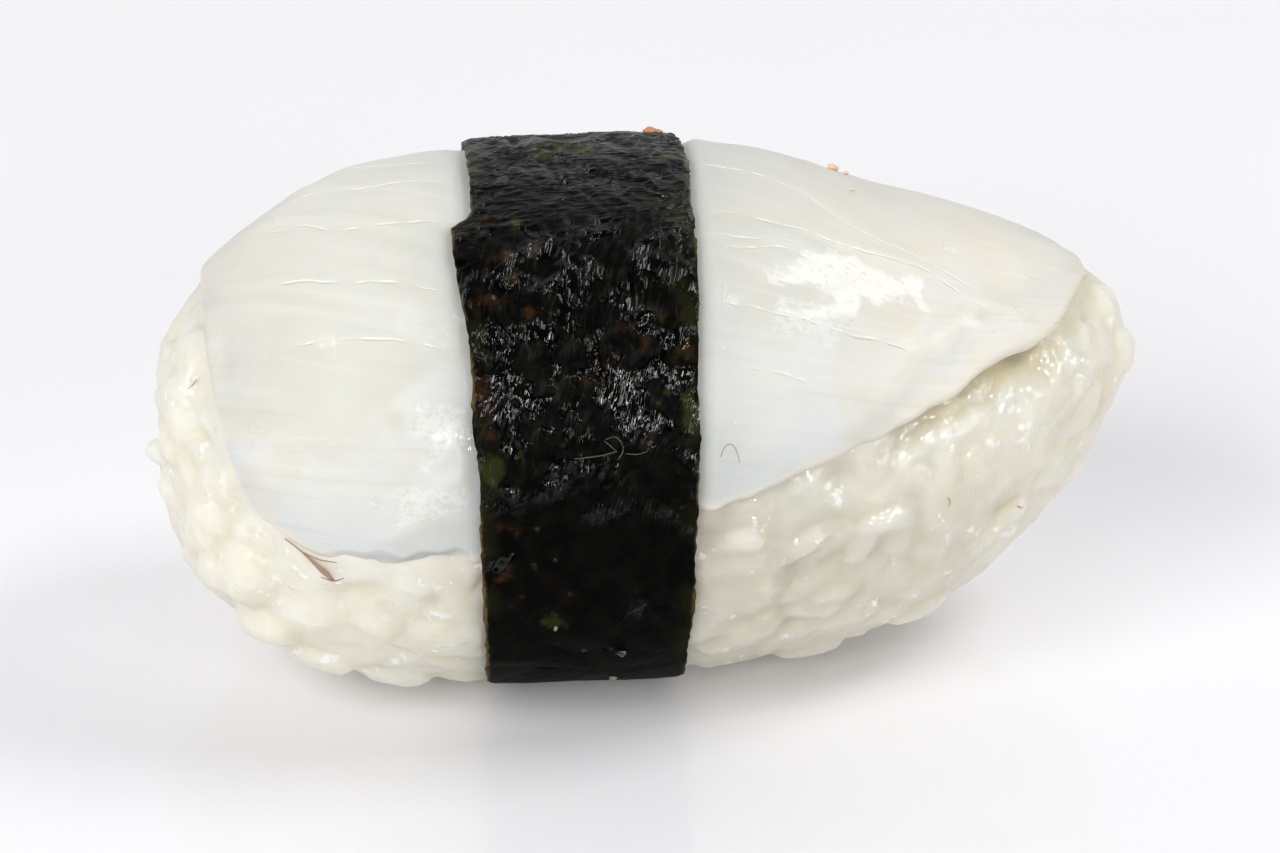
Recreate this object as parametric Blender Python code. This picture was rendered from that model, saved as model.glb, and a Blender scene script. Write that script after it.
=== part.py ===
"""Nigiri sushi: a moulded block of vinegared rice under a draped slab of translucent white
seafood, both held by a band of dried seaweed.

Every piece is laid out on one mound, the outer form of the whole. A place on the mound is
given by its station along the length, its angle round the block (0 at the front, 90 on top,
180 at the back) and its lift above or below the mound's surface. Metres, +Z up, +X along.
"""
import math

import bmesh
import bpy
import numpy as np
from mathutils import Matrix, Vector

SEED = 11

# The mound: half length, half width and half height, and how blunt its two ends are.
HALF_LENGTH = 0.0310
HALF_WIDTH = 0.0170
HALF_HEIGHT = 0.0161
BLUNT_LEFT = 3.4
BLUNT_RIGHT = 1.7
SQUARE_TOP = 2.15
SQUARE_BOTTOM = 2.35
# The height of its centre line, which dips to the right of the band and rises to the tip.
CENTRE_STATIONS = (-0.031, -0.024, -0.012, -0.003, 0.008, 0.016, 0.023, 0.031)
CENTRE_HEIGHTS = (0.0150, 0.0152, 0.0159, 0.0157, 0.0151, 0.0146, 0.0154, 0.0168)

GAP = 0.0003
MELT = 0.000001

# The topping: the angles of its front and back edges along the length, and its thickness.
FRONT_STATIONS = (-0.0277, -0.0271, -0.0262, -0.0246, -0.0210, -0.0170, -0.0130, 0.0010,
                  0.0060, 0.0110, 0.0155, 0.0200, 0.0240, 0.0262, 0.0280)
FRONT_ANGLES = (52, 26, 8, -2, -8, -9, -6, 3, 8, 15, 23, 33, 41, 55, 76)
BACK_STATIONS = (-0.0277, -0.0271, -0.0262, -0.0240, -0.0190, -0.0120, 0.0, 0.0100,
                 0.0190, 0.0245, 0.0270, 0.0280)
BACK_ANGLES = (60, 96, 126, 152, 176, 186, 184, 176, 160, 136, 112, 82)
TOPPING_MIDDLE = 0.0031
TOPPING_EDGE = 0.0011
TOPPING_TAPER = 0.0075
TOPPING_COLUMNS = 36
TOPPING_ROWS = 24
# Its knife grooves: angle round the block, where each starts and ends, and their size.
GROOVES = ((101, -0.027, 0.024), (84, -0.027, 0.026), (70, -0.026, 0.022), (57, -0.026, 0.014),
           (116, -0.025, 0.020), (134, -0.022, 0.018))
GROOVE_DEPTH = 0.00045
GROOVE_WIDTH = 0.0016
GROOVE_DRIFT = 420.0
# The loose flap at the front right, which stands off the rice.
FLAP_STATION = 0.0205
FLAP_REACH = 0.0065
FLAP_LIFT = 0.0009

# The seaweed band: where it crosses, how it leans, its half width and its thickness.
BAND_MIDDLE = -0.0042
BAND_LEAN = 0.11
BAND_HALF_TOP = 0.0071
BAND_HALF_BOTTOM = 0.0060
BAND_THICKNESS = 0.00045
BAND_AROUND = 72
BAND_ACROSS = 6
BAND_RAGGED = 0.00022
BAND_WRINKLE = 0.00012
NOTCH_ANGLE = 71
NOTCH_DEPTH = 0.0006

# The rice: its grains, how deep they sit, and the core that carries them.
GRAIN_LENGTH = 0.0059
GRAIN_WIDTH = 0.0029
GRAIN_HEIGHT = 0.0025
GRAIN_SIDES = 5
GRAIN_RINGS = 4
GRAIN_SPACING = 0.0041
GRAIN_DEPTH = 0.00125
GRAIN_FOOT = 0.0008
EDGE_SPACING = 0.0052
EDGE_ASIDE = 0.0021
CORE_DEPTH = 0.0015
CORE_COLUMNS = 24
CORE_ANGLES = 32
CORE_FOOT = 0.0004


def through(stations, values, x):
    """A smooth curve through a few stations, read at x."""
    stations = np.asarray(stations, float)
    values = np.asarray(values, float)
    slopes = np.gradient(values, stations)
    x = np.clip(x, stations[0], stations[-1])
    left = np.clip(np.searchsorted(stations, x) - 1, 0, len(stations) - 2)
    span = stations[left + 1] - stations[left]
    t = (x - stations[left]) / span
    return ((1 + 2 * t) * (1 - t) ** 2 * values[left] + t * (1 - t) ** 2 * span * slopes[left]
            + t * t * (3 - 2 * t) * values[left + 1] + t * t * (t - 1) * span * slopes[left + 1])


def ease(edge_0, edge_1, x):
    """0 below edge_0, 1 above edge_1 and a smooth step between them."""
    t = np.clip((x - edge_0) / (edge_1 - edge_0), 0, 1)
    return t * t * (3 - 2 * t)


def mound_centre(station):
    return through(CENTRE_STATIONS, CENTRE_HEIGHTS, station)


def mound_girth(station):
    """How much of the full section is left at a station, from 1 in the middle to 0."""
    blunt = np.where(station < 0, BLUNT_LEFT, BLUNT_RIGHT)
    return np.sqrt(np.clip(1 - np.abs(station / HALF_LENGTH) ** blunt, 0, None))


def mound_skin(station, angle):
    """The point of the mound's surface at a station and an angle in degrees."""
    station, angle = np.broadcast_arrays(np.asarray(station, float), np.radians(angle))
    across, rise = np.cos(angle), np.sin(angle)
    square = np.where(rise > 0, SQUARE_TOP, SQUARE_BOTTOM)
    reach = (np.abs(across) ** square + np.abs(rise) ** square) ** (-1 / square)
    girth = mound_girth(station)
    return np.stack([station,
                     -HALF_WIDTH * girth * across * reach,
                     mound_centre(station) + HALF_HEIGHT * girth * rise * reach], -1)


def mound_point(station, angle, lift=0.0):
    """A point on the mound, moved outwards by lift along the surface's normal."""
    station, angle, lift = np.broadcast_arrays(station, angle, lift)
    station = np.clip(station, -HALF_LENGTH * 0.9995, HALF_LENGTH * 0.9995)
    step_along, step_round = 0.00002, 0.5
    along = mound_skin(station + step_along, angle) - mound_skin(station - step_along, angle)
    around = mound_skin(station, angle + step_round) - mound_skin(station, angle - step_round)
    normal = np.cross(along, around)
    normal /= np.linalg.norm(normal, axis=-1, keepdims=True)
    return mound_skin(station, angle) + normal * lift[..., None]


def place_on_mound(points):
    """The station, angle and lift of points that lie near the mound's surface."""
    def level(p):
        square = np.where(p[:, 2] > mound_centre(p[:, 0]), SQUARE_TOP, SQUARE_BOTTOM)
        blunt = np.where(p[:, 0] < 0, BLUNT_LEFT, BLUNT_RIGHT)
        rho = (np.abs(p[:, 1] / HALF_WIDTH) ** square
               + np.abs((p[:, 2] - mound_centre(p[:, 0])) / HALF_HEIGHT) ** square) ** (1 / square)
        return rho ** 2 + np.abs(p[:, 0] / HALF_LENGTH) ** blunt - 1

    points = np.asarray(points, float)
    step = 0.00005
    slope = np.stack([level(points + step * axis) - level(points - step * axis)
                      for axis in np.eye(3)], -1) / (2 * step)
    rise = (points[:, 2] - mound_centre(points[:, 0])) / HALF_HEIGHT
    angle = np.degrees(np.arctan2(rise, -points[:, 1] / HALF_WIDTH))
    angle = np.where(angle < -90, angle + 360, angle)
    return points[:, 0], angle, level(points) / np.linalg.norm(slope, axis=-1)


def topping_front(station):
    return through(FRONT_STATIONS, FRONT_ANGLES, station)


def topping_back(station):
    return through(BACK_STATIONS, BACK_ANGLES, station)


def topping_margin(station, angle):
    """Metres from the topping's outline: above 0 inside it, below 0 outside."""
    per_degree = math.radians(1) * HALF_WIDTH * np.maximum(mound_girth(station), 0.35)
    round_block = np.minimum(angle - topping_front(station), topping_back(station) - angle)
    ends = np.minimum(station - FRONT_STATIONS[0], FRONT_STATIONS[-1] - station)
    return np.minimum(round_block * per_degree, ends)


def band_edge(angle, side):
    """The station of the band's left (-1) or right (+1) edge at an angle."""
    rise = np.sin(np.radians(angle))
    lean = -BAND_LEAN * HALF_WIDTH * np.cos(np.radians(angle))
    half = BAND_HALF_BOTTOM + (BAND_HALF_TOP - BAND_HALF_BOTTOM) * (1 + rise) / 2
    notch = NOTCH_DEPTH * ease(NOTCH_ANGLE, NOTCH_ANGLE + 3, angle) if side < 0 else 0
    return BAND_MIDDLE + lean + side * half + notch


def band_cover(station, angle, soft):
    """1 under the band and 0 beside it, with a soft step just outside its edges."""
    inside = np.minimum(station - band_edge(angle, -1), band_edge(angle, 1) - station)
    return ease(-soft, -0.0001, inside)


def mesh_object(name, points, faces, colour, roughness):
    """A closed mesh as an object with its own material."""
    mesh = bpy.data.meshes.new(name)
    mesh.from_pydata([tuple(p) for p in points], [], faces)
    shape = bmesh.new()
    shape.from_mesh(mesh)
    bmesh.ops.remove_doubles(shape, verts=shape.verts, dist=MELT)
    bmesh.ops.triangulate(shape, faces=shape.faces)
    bmesh.ops.recalc_face_normals(shape, faces=shape.faces)
    shape.to_mesh(mesh)
    shape.free()
    mesh.shade_smooth()
    piece = bpy.data.objects.new(name, mesh)
    bpy.context.scene.collection.objects.link(piece)
    piece.data.materials.append(food_material(name, colour, roughness))
    return piece


def food_material(name, colour, roughness):
    material = bpy.data.materials.new(name)
    material.use_nodes = True
    shader = material.node_tree.nodes["Principled BSDF"]
    shader.inputs["Base Color"].default_value = (*colour, 1)
    shader.inputs["Roughness"].default_value = roughness
    shader.inputs["Metallic"].default_value = 0
    return material


def grid_faces(columns, rows, start, closed=False):
    """Faces of a grid of points stored column by column; closed joins the last row."""
    faces = []
    for column in range(columns - 1):
        for row in range(rows if closed else rows - 1):
            a = start + column * rows + row
            b = start + column * rows + (row + 1) % rows
            faces.append((a, b, b + rows, a + rows))
    return faces


def make_topping():
    """The slab: an outer skin with its grooves, an inner skin, and the rim between them."""
    spread = (1 - np.cos(np.linspace(0, math.pi, TOPPING_COLUMNS))) / 2
    evened = 0.55 * spread + 0.45 * np.linspace(0, 1, TOPPING_COLUMNS)
    station = FRONT_STATIONS[0] + (FRONT_STATIONS[-1] - FRONT_STATIONS[0]) * evened
    share = np.linspace(0, 1, TOPPING_ROWS)
    station = np.repeat(station[:, None], TOPPING_ROWS, 1)
    angle = topping_front(station) + (topping_back(station) - topping_front(station)) * share
    margin = np.clip(topping_margin(station, angle), 0, None)
    thickness = TOPPING_EDGE + (TOPPING_MIDDLE - TOPPING_EDGE) * ease(0, TOPPING_TAPER, margin)

    groove = np.zeros_like(station)
    for centre, start, end in GROOVES:
        drift = centre - GROOVE_DRIFT * np.clip(station, 0, None)
        away = np.radians(angle - drift) * HALF_WIDTH * mound_girth(station)
        along = ease(start, start + 0.004, station) * (1 - ease(end - 0.004, end, station))
        groove += along * np.exp(-(away / GROOVE_WIDTH) ** 2)
    flap = np.exp(-((station - FLAP_STATION) / FLAP_REACH) ** 2) * (1 - ease(0, 0.004, margin))
    flap *= angle < 90
    covered = band_cover(station, angle, 0.0012)
    lift = FLAP_LIFT * flap - GROOVE_DEPTH * groove * (1 - covered) - GAP * covered

    outer = mound_point(station, angle, lift).reshape(-1, 3)
    inner = mound_point(station, angle, lift - thickness).reshape(-1, 3)
    count = len(outer)
    faces = grid_faces(TOPPING_COLUMNS, TOPPING_ROWS, 0)
    faces += [tuple(reversed(face)) for face in grid_faces(TOPPING_COLUMNS, TOPPING_ROWS, count)]
    last = (TOPPING_COLUMNS - 1) * TOPPING_ROWS
    rim = [column * TOPPING_ROWS for column in range(TOPPING_COLUMNS)]
    rim += [last + row for row in range(1, TOPPING_ROWS)]
    rim += [column * TOPPING_ROWS + TOPPING_ROWS - 1 for column in range(TOPPING_COLUMNS - 2, -1, -1)]
    rim += [row for row in range(TOPPING_ROWS - 2, 0, -1)]
    faces += [(a, b, b + count, a + count) for a, b in zip(rim, rim[1:] + rim[:1])]
    return mesh_object("topping", np.vstack([outer, inner]), faces, (0.80, 0.79, 0.74), 0.25)


def make_band():
    """The band: a thin closed ring with ragged edges that lies on topping and rice."""
    rng = np.random.default_rng(SEED)
    angle = np.linspace(-90, 270, BAND_AROUND, endpoint=False)
    ragged = [BAND_RAGGED * rng.normal(size=BAND_AROUND) for _ in range(2)]
    left = band_edge(angle, -1) + ragged[0]
    right = band_edge(angle, 1) + ragged[1]
    share = np.linspace(0, 1, BAND_ACROSS + 1)
    station = left + (right - left) * share[:, None]
    angle = np.broadcast_to(angle, station.shape)
    wrinkle = BAND_WRINKLE * rng.random(station.shape)
    skins = []
    for lift in (BAND_THICKNESS, 0.0):
        skin = mound_point(station, angle, lift + wrinkle)
        skin[..., 2] = np.maximum(skin[..., 2], BAND_THICKNESS - lift)
        skins.append(skin.reshape(-1, 3))
    count = len(skins[0])
    faces = grid_faces(BAND_ACROSS + 1, BAND_AROUND, 0, closed=True)
    faces += [tuple(reversed(face))
              for face in grid_faces(BAND_ACROSS + 1, BAND_AROUND, count, closed=True)]
    for edge in (0, BAND_ACROSS * BAND_AROUND):
        loop = [edge + k for k in range(BAND_AROUND)]
        faces += [(a, b, b + count, a + count) for a, b in zip(loop, loop[1:] + loop[:1])]
    return mesh_object("nori", np.vstack(skins), faces, (0.012, 0.014, 0.008), 0.35)


def core_lift(station, angle):
    """How far under the mound's surface the rice core lies, so that it clears its covers."""
    margin = topping_margin(station, angle)
    thickness = TOPPING_EDGE + (TOPPING_MIDDLE - TOPPING_EDGE) * ease(0, TOPPING_TAPER, margin)
    under_topping = -(GAP + thickness + GAP + 0.0002)
    banded = band_cover(station, angle, 0.0004)
    in_open = -CORE_DEPTH + (CORE_DEPTH - GAP - 0.0001) * banded
    clear = ease(-0.0045, -0.0020, margin)
    return under_topping * clear + in_open * (1 - clear)


def make_core():
    """The rice under the grains: a closed shell of sections, with one point at each end."""
    turn = np.linspace(-math.pi / 2, math.pi / 2, CORE_COLUMNS + 1)[1:-1]
    station = np.repeat(HALF_LENGTH * np.sin(turn)[:, None], CORE_ANGLES, 1)
    angle = np.linspace(-90, 270, CORE_ANGLES, endpoint=False)
    angle = np.broadcast_to(angle, station.shape)
    points = mound_point(station, angle, core_lift(station, angle))
    floor = CORE_FOOT + (BAND_THICKNESS + GAP - CORE_FOOT) * band_cover(station, angle, 0.0030)
    points[..., 2] = np.maximum(points[..., 2], floor)
    tips = [mound_skin(side * HALF_LENGTH, 0) - Vector((side * CORE_DEPTH, 0, 0))
            for side in (-1, 1)]
    columns = CORE_COLUMNS - 1
    faces = grid_faces(columns, CORE_ANGLES, 0, closed=True)
    first, last = columns * CORE_ANGLES, columns * CORE_ANGLES + 1
    for row in range(CORE_ANGLES):
        after = (row + 1) % CORE_ANGLES
        faces.append((first, after, row))
        base = (columns - 1) * CORE_ANGLES
        faces.append((last, base + row, base + after))
    points = np.vstack([points.reshape(-1, 3), tips])
    return mesh_object("rice", points, faces, (0.82, 0.80, 0.72), 0.45)


def grain_mesh():
    """One cooked grain of unit length, width and height, with few sides."""
    shape = bmesh.new()
    bmesh.ops.create_uvsphere(shape, u_segments=GRAIN_SIDES, v_segments=GRAIN_RINGS, radius=0.5)
    bmesh.ops.rotate(shape, verts=shape.verts, matrix=Matrix.Rotation(math.pi / 2, 3, "Y"))
    mesh = bpy.data.meshes.new("grain")
    shape.to_mesh(mesh)
    shape.free()
    return mesh


def grain_fits(points):
    """Whether a grain at these points stays clear of the topping and the band."""
    station, angle, lift = place_on_mound(points)
    margin = topping_margin(station, angle)
    topping_low = -(TOPPING_EDGE + (TOPPING_MIDDLE - TOPPING_EDGE)
                    * ease(0, TOPPING_TAPER, margin)) - 2 * GAP
    if np.any((margin > -GAP) & (lift > topping_low - GAP)):
        return False
    beside = np.maximum(band_edge(angle, -1) - station, station - band_edge(angle, 1))
    low = points[:, 2] < BAND_THICKNESS + 2 * GAP
    return not np.any((beside < 2 * GAP + BAND_RAGGED) & ((lift > -2 * GAP) | low))


def degrees_across(station, width):
    """The angle that spans a width, in metres, round the block at a station."""
    return math.degrees(width / (HALF_WIDTH * max(float(mound_girth(station)), 0.35)))


def grains_along_edges():
    """Spots along the topping's and the band's edges, each with the direction it lies in."""
    for edge, side in ((topping_front, -1), (topping_back, 1)):
        def beside(station):
            angle = float(edge(station)) + side * degrees_across(station, EDGE_ASIDE)
            return mound_skin(station, angle), angle
        for station in np.arange(FRONT_STATIONS[0] + 0.002, HALF_LENGTH - 0.003, EDGE_SPACING):
            along = beside(station + 0.001)[0] - beside(station - 0.001)[0]
            yield station, beside(station)[1], along
    for side in (-1, 1):
        for angle in np.arange(-90, 270, degrees_across(BAND_MIDDLE, EDGE_SPACING)):
            station = float(band_edge(angle, side)) + side * EDGE_ASIDE
            along = mound_skin(station, angle + 2) - mound_skin(station, angle - 2)
            yield station, angle, along


def grains_over_rest(rng):
    """Even spots over the rest of the rice, each with a seeded jitter and direction."""
    columns = round((2 * HALF_LENGTH + HALF_HEIGHT) / GRAIN_SPACING)
    for column in range(columns):
        turn = math.pi * ((column + 0.5) / columns - 0.5)
        middle = HALF_LENGTH * math.sin(turn)
        rows = 2 * math.pi * HALF_WIDTH * float(mound_girth(middle)) / GRAIN_SPACING
        for row in range(max(3, round(rows))):
            jitter = rng.uniform(-0.35, 0.35, 2)
            station = HALF_LENGTH * math.sin(turn + jitter[0] * math.pi / columns)
            angle = 360 * (row + 0.5 * (column % 2) + jitter[1]) / max(3, round(rows)) % 360 - 90
            yield station, angle, rng.normal(size=3)


def grain_pose(rng, station, angle, along):
    """A grain's place, turn and size: half sunk in the mound's surface, nearly lying in it."""
    size = rng.uniform((0.80, 0.88, 0.88), (1.10, 1.10, 1.15))
    size = size * (GRAIN_LENGTH, GRAIN_WIDTH, GRAIN_HEIGHT)
    depth = GRAIN_DEPTH + rng.uniform(-0.0002, 0.0006)
    skin = mound_point(station, angle)
    out = Vector(mound_point(station, angle, 0.001) - skin).normalized()
    across = out.cross(Vector(along)).normalized()
    turn = Matrix((across.cross(out), across, out)).transposed().to_4x4()
    swing = Matrix.Rotation(rng.uniform(-0.3, 0.3), 4, "Z")
    tilt = Matrix.Rotation(rng.uniform(-0.3, 0.3), 4, "Y")
    place = Matrix.Translation(Vector(skin) - out * depth)
    return place @ turn @ swing @ tilt @ Matrix.Diagonal((*size, 1))


def make_grains(holder):
    """The grains that show, each laid on the core where it clears the other pieces."""
    rng = np.random.default_rng(SEED)
    mesh = grain_mesh()
    shape = np.array([vertex.co for vertex in mesh.vertices])
    middles = []
    for station, angle, along in [*grains_along_edges(), *grains_over_rest(rng)]:
        for _ in range(6):
            pose = grain_pose(rng, station, angle, along)
            points = shape @ np.array(pose.to_3x3()).T + pose.translation
            apart = min(((pose.translation - other).length for other in middles), default=1)
            if apart < GRAIN_WIDTH or pose.translation.z < GRAIN_FOOT:
                break
            if grain_fits(points):
                grain = bpy.data.objects.new("grain", mesh)
                grain.matrix_world = pose
                holder.objects.link(grain)
                middles.append(pose.translation.copy())
                break


def keep_largest_body(mesh):
    """Drops loose scraps and the walls of sealed hollows from a joined mesh."""
    shape = bmesh.new()
    shape.from_mesh(mesh)
    bmesh.ops.remove_doubles(shape, verts=shape.verts, dist=MELT)
    shape.faces.ensure_lookup_table()
    bodies, seen = [], set()
    for face in shape.faces:
        if face in seen:
            continue
        body, queue = [], [face]
        seen.add(face)
        while queue:
            here = queue.pop()
            body.append(here)
            for edge in here.edges:
                for other in edge.link_faces:
                    if other not in seen:
                        seen.add(other)
                        queue.append(other)
        bodies.append(body)
    bodies.sort(key=len, reverse=True)
    for body in bodies[1:]:
        bmesh.ops.delete(shape, geom=body, context="FACES")
    bmesh.ops.triangulate(shape, faces=shape.faces)
    shape.to_mesh(mesh)
    shape.free()


def apply_boolean(piece, operation, target):
    """Joins or cuts a piece, applies the result and leaves no modifier."""
    modifier = piece.modifiers.new(operation.lower(), "BOOLEAN")
    modifier.operation = operation
    modifier.solver = "EXACT"
    if isinstance(target, bpy.types.Collection):
        modifier.operand_type = "COLLECTION"
        modifier.collection = target
    else:
        modifier.object = target
    depsgraph = bpy.context.evaluated_depsgraph_get()
    result = bpy.data.meshes.new_from_object(piece.evaluated_get(depsgraph))
    piece.modifiers.clear()
    piece.data = result


def make_rice():
    """The rice block: grains fused on the core, cut flat where it stands."""
    rice = make_core()
    holder = bpy.data.collections.new("grains")
    bpy.context.scene.collection.children.link(holder)
    make_grains(holder)
    apply_boolean(rice, "UNION", holder)
    for grain in list(holder.objects):
        bpy.data.objects.remove(grain)
    bpy.data.collections.remove(holder)

    bpy.ops.mesh.primitive_cube_add(size=1, location=(0, 0, -0.01))
    floor = bpy.context.object
    floor.scale = (0.1, 0.1, 0.02)
    bpy.context.view_layer.update()
    apply_boolean(rice, "DIFFERENCE", floor)
    bpy.data.objects.remove(floor)
    keep_largest_body(rice.data)


for leftover in list(bpy.data.objects):
    bpy.data.objects.remove(leftover)
make_rice()
make_topping()
make_band()
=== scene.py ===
"""The look of a nigiri sushi, dressed over its solids: rice, topping, seaweed band and the
small scraps on them. Metres, +Z up, +X to the slim end, -Y to the side that shows."""
import math

import bmesh
import bpy
import numpy as np
from mathutils import Matrix, Vector
from mathutils.kdtree import KDTree


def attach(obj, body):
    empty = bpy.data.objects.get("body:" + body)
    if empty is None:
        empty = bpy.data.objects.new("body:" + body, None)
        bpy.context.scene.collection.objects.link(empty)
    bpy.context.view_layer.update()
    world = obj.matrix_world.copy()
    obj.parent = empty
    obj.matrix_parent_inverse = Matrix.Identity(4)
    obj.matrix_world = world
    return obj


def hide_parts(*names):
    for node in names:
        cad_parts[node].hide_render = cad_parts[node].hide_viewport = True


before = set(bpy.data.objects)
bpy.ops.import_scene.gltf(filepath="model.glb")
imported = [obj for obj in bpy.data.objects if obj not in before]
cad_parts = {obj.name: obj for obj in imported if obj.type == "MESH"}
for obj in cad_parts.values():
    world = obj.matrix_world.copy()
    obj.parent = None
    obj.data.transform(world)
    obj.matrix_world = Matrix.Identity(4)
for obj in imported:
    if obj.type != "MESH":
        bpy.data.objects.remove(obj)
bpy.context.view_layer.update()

# ---------------------------------------------------------------------------------------------
# The rice block. Vinegared short-grain rice, pressed by hand into a mound, so that its grains
# are squashed and stuck together. Each grain is laid by Geometry Nodes, and then all of them
# melt into the core under them, as sticky rice does.

HALF_LENGTH = 0.0310
HALF_WIDTH = 0.0170
HALF_HEIGHT = 0.0161
BLUNT_LEFT = 3.4
BLUNT_RIGHT = 1.7
SQUARE_TOP = 2.15
SQUARE_BOTTOM = 2.35
CENTRE_STATIONS = (-0.031, -0.024, -0.012, -0.003, 0.008, 0.016, 0.023, 0.031)
CENTRE_HEIGHTS = (0.0150, 0.0152, 0.0159, 0.0157, 0.0151, 0.0146, 0.0154, 0.0168)


def through(stations, values, x):
    """A smooth curve through a few stations, read at x."""
    stations = np.asarray(stations, float)
    values = np.asarray(values, float)
    slopes = np.gradient(values, stations)
    x = np.clip(x, stations[0], stations[-1])
    left = np.clip(np.searchsorted(stations, x) - 1, 0, len(stations) - 2)
    span = stations[left + 1] - stations[left]
    t = (x - stations[left]) / span
    return ((1 + 2 * t) * (1 - t) ** 2 * values[left] + t * (1 - t) ** 2 * span * slopes[left]
            + t * t * (3 - 2 * t) * values[left + 1] + t * t * (t - 1) * span * slopes[left + 1])


def ease(edge_0, edge_1, x):
    """0 below edge_0, 1 above edge_1 and a smooth step between them."""
    t = np.clip((x - edge_0) / (edge_1 - edge_0), 0, 1)
    return t * t * (3 - 2 * t)


def ripples(points, size, seed, stretch=(1, 1, 1), waves=28):
    """Seeded unevenness of about one size over points in space, mostly within -2 to 2."""
    rng = np.random.default_rng(seed)
    ways = rng.normal(size=(waves, 3))
    ways /= np.linalg.norm(ways, axis=1, keepdims=True)
    ways *= (2 * math.pi / (size * rng.uniform(0.7, 1.7, waves)))[:, None]
    turn = rng.uniform(0, 2 * math.pi, waves)
    flat = (np.asarray(points, float) / stretch).reshape(-1, 3)
    return (np.sin(flat @ ways.T + turn).sum(1) / math.sqrt(waves / 2)).reshape(points.shape[:-1])


def mound_centre(station):
    return through(CENTRE_STATIONS, CENTRE_HEIGHTS, station)


def mound_girth(station):
    """How much of the full section is left at a station, from 1 in the middle to 0."""
    blunt = np.where(station < 0, BLUNT_LEFT, BLUNT_RIGHT)
    return np.sqrt(np.clip(1 - np.abs(station / HALF_LENGTH) ** blunt, 0, None))


def mound_skin(station, angle):
    """The point of the mound's surface at a station and an angle in degrees."""
    station, angle = np.broadcast_arrays(np.asarray(station, float), np.radians(angle))
    across, rise = np.cos(angle), np.sin(angle)
    square = np.where(rise > 0, SQUARE_TOP, SQUARE_BOTTOM)
    reach = (np.abs(across) ** square + np.abs(rise) ** square) ** (-1 / square)
    girth = mound_girth(station)
    return np.stack([station,
                     -HALF_WIDTH * girth * across * reach,
                     mound_centre(station) + HALF_HEIGHT * girth * rise * reach], -1)


def mound_normal(station, angle):
    """The surface's outward normal there."""
    station, angle = np.broadcast_arrays(np.asarray(station, float), np.asarray(angle, float))
    station = np.clip(station, -HALF_LENGTH * 0.9995, HALF_LENGTH * 0.9995)
    step_along, step_round = 0.00002, 0.5
    along = mound_skin(station + step_along, angle) - mound_skin(station - step_along, angle)
    around = mound_skin(station, angle + step_round) - mound_skin(station, angle - step_round)
    normal = np.cross(along, around)
    return normal / np.linalg.norm(normal, axis=-1, keepdims=True)


def mound_point(station, angle, lift=0.0):
    """A point on the mound, moved outwards by lift along the surface's normal."""
    station, angle, lift = np.broadcast_arrays(station, angle, lift)
    return mound_skin(station, angle) + mound_normal(station, angle) * lift[..., None]


def place_on_mound(points):
    """The station, angle and lift of points that lie near the mound's surface."""
    def level(p):
        square = np.where(p[:, 2] > mound_centre(p[:, 0]), SQUARE_TOP, SQUARE_BOTTOM)
        blunt = np.where(p[:, 0] < 0, BLUNT_LEFT, BLUNT_RIGHT)
        rho = (np.abs(p[:, 1] / HALF_WIDTH) ** square
               + np.abs((p[:, 2] - mound_centre(p[:, 0])) / HALF_HEIGHT) ** square) ** (1 / square)
        return rho ** 2 + np.abs(p[:, 0] / HALF_LENGTH) ** blunt - 1

    step = 0.00005
    slope = np.stack([level(points + step * axis) - level(points - step * axis)
                      for axis in np.eye(3)], -1) / (2 * step)
    rise = (points[:, 2] - mound_centre(points[:, 0])) / HALF_HEIGHT
    angle = np.degrees(np.arctan2(rise, -points[:, 1] / HALF_WIDTH))
    angle = np.where(angle < -90, angle + 360, angle)
    return points[:, 0], angle, level(points) / np.linalg.norm(slope, axis=-1)


# The outline and thickness of the topping and the edges of the band, which the rice clears.
FRONT_STATIONS = (-0.0277, -0.0271, -0.0262, -0.0246, -0.0210, -0.0170, -0.0130, 0.0010,
                  0.0060, 0.0110, 0.0155, 0.0200, 0.0240, 0.0262, 0.0280)
FRONT_ANGLES = (52, 26, 8, -2, -8.5, -11.5, -8.5, 2.5, 8, 15, 23, 33, 41, 55, 76)
BACK_STATIONS = (-0.0277, -0.0271, -0.0262, -0.0240, -0.0190, -0.0120, 0.0, 0.0100,
                 0.0190, 0.0245, 0.0270, 0.0280)
BACK_ANGLES = (60, 96, 126, 152, 176, 186, 184, 176, 160, 136, 112, 82)
TOPPING_MIDDLE = 0.0031
TOPPING_EDGE = 0.0011
TOPPING_TAPER = 0.0075
FLAP_STATION = 0.0205
FLAP_REACH = 0.0065
BAND_MIDDLE = -0.0042
BAND_LEAN = 0.11
BAND_HALF_TOP = 0.0071
BAND_HALF_BOTTOM = 0.0060
NOTCH_ANGLES = (69.5, 73)
NOTCH_DEPTH = 0.0006
RICE_CLEARANCE = 0.0004


def topping_front(station):
    """The front edge's angle, a little uneven as it was cut and pulled."""
    station = np.asarray(station, float)
    along = np.stack([station, 0 * station, 0 * station], -1)
    ends = ease(-0.0272, -0.0240, station) * (1 - ease(0.0240, 0.0270, station))
    uneven = 0.55 * ripples(along, 0.006, 12) + 0.35 * ripples(along, 0.0022, 13)
    return through(FRONT_STATIONS, FRONT_ANGLES, station) + uneven * ends


def topping_back(station):
    return through(BACK_STATIONS, BACK_ANGLES, station)


def topping_margin(station, angle):
    """Metres from the topping's outline: above 0 inside it, below 0 outside."""
    per_degree = math.radians(1) * HALF_WIDTH * np.maximum(mound_girth(station), 0.35)
    round_block = np.minimum(angle - topping_front(station), topping_back(station) - angle)
    ends = np.minimum(station - FRONT_STATIONS[0], FRONT_STATIONS[-1] - station)
    return np.minimum(round_block * per_degree, ends)


def topping_thickness(margin):
    return TOPPING_EDGE + (TOPPING_MIDDLE - TOPPING_EDGE) * ease(0, TOPPING_TAPER, margin)


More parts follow.
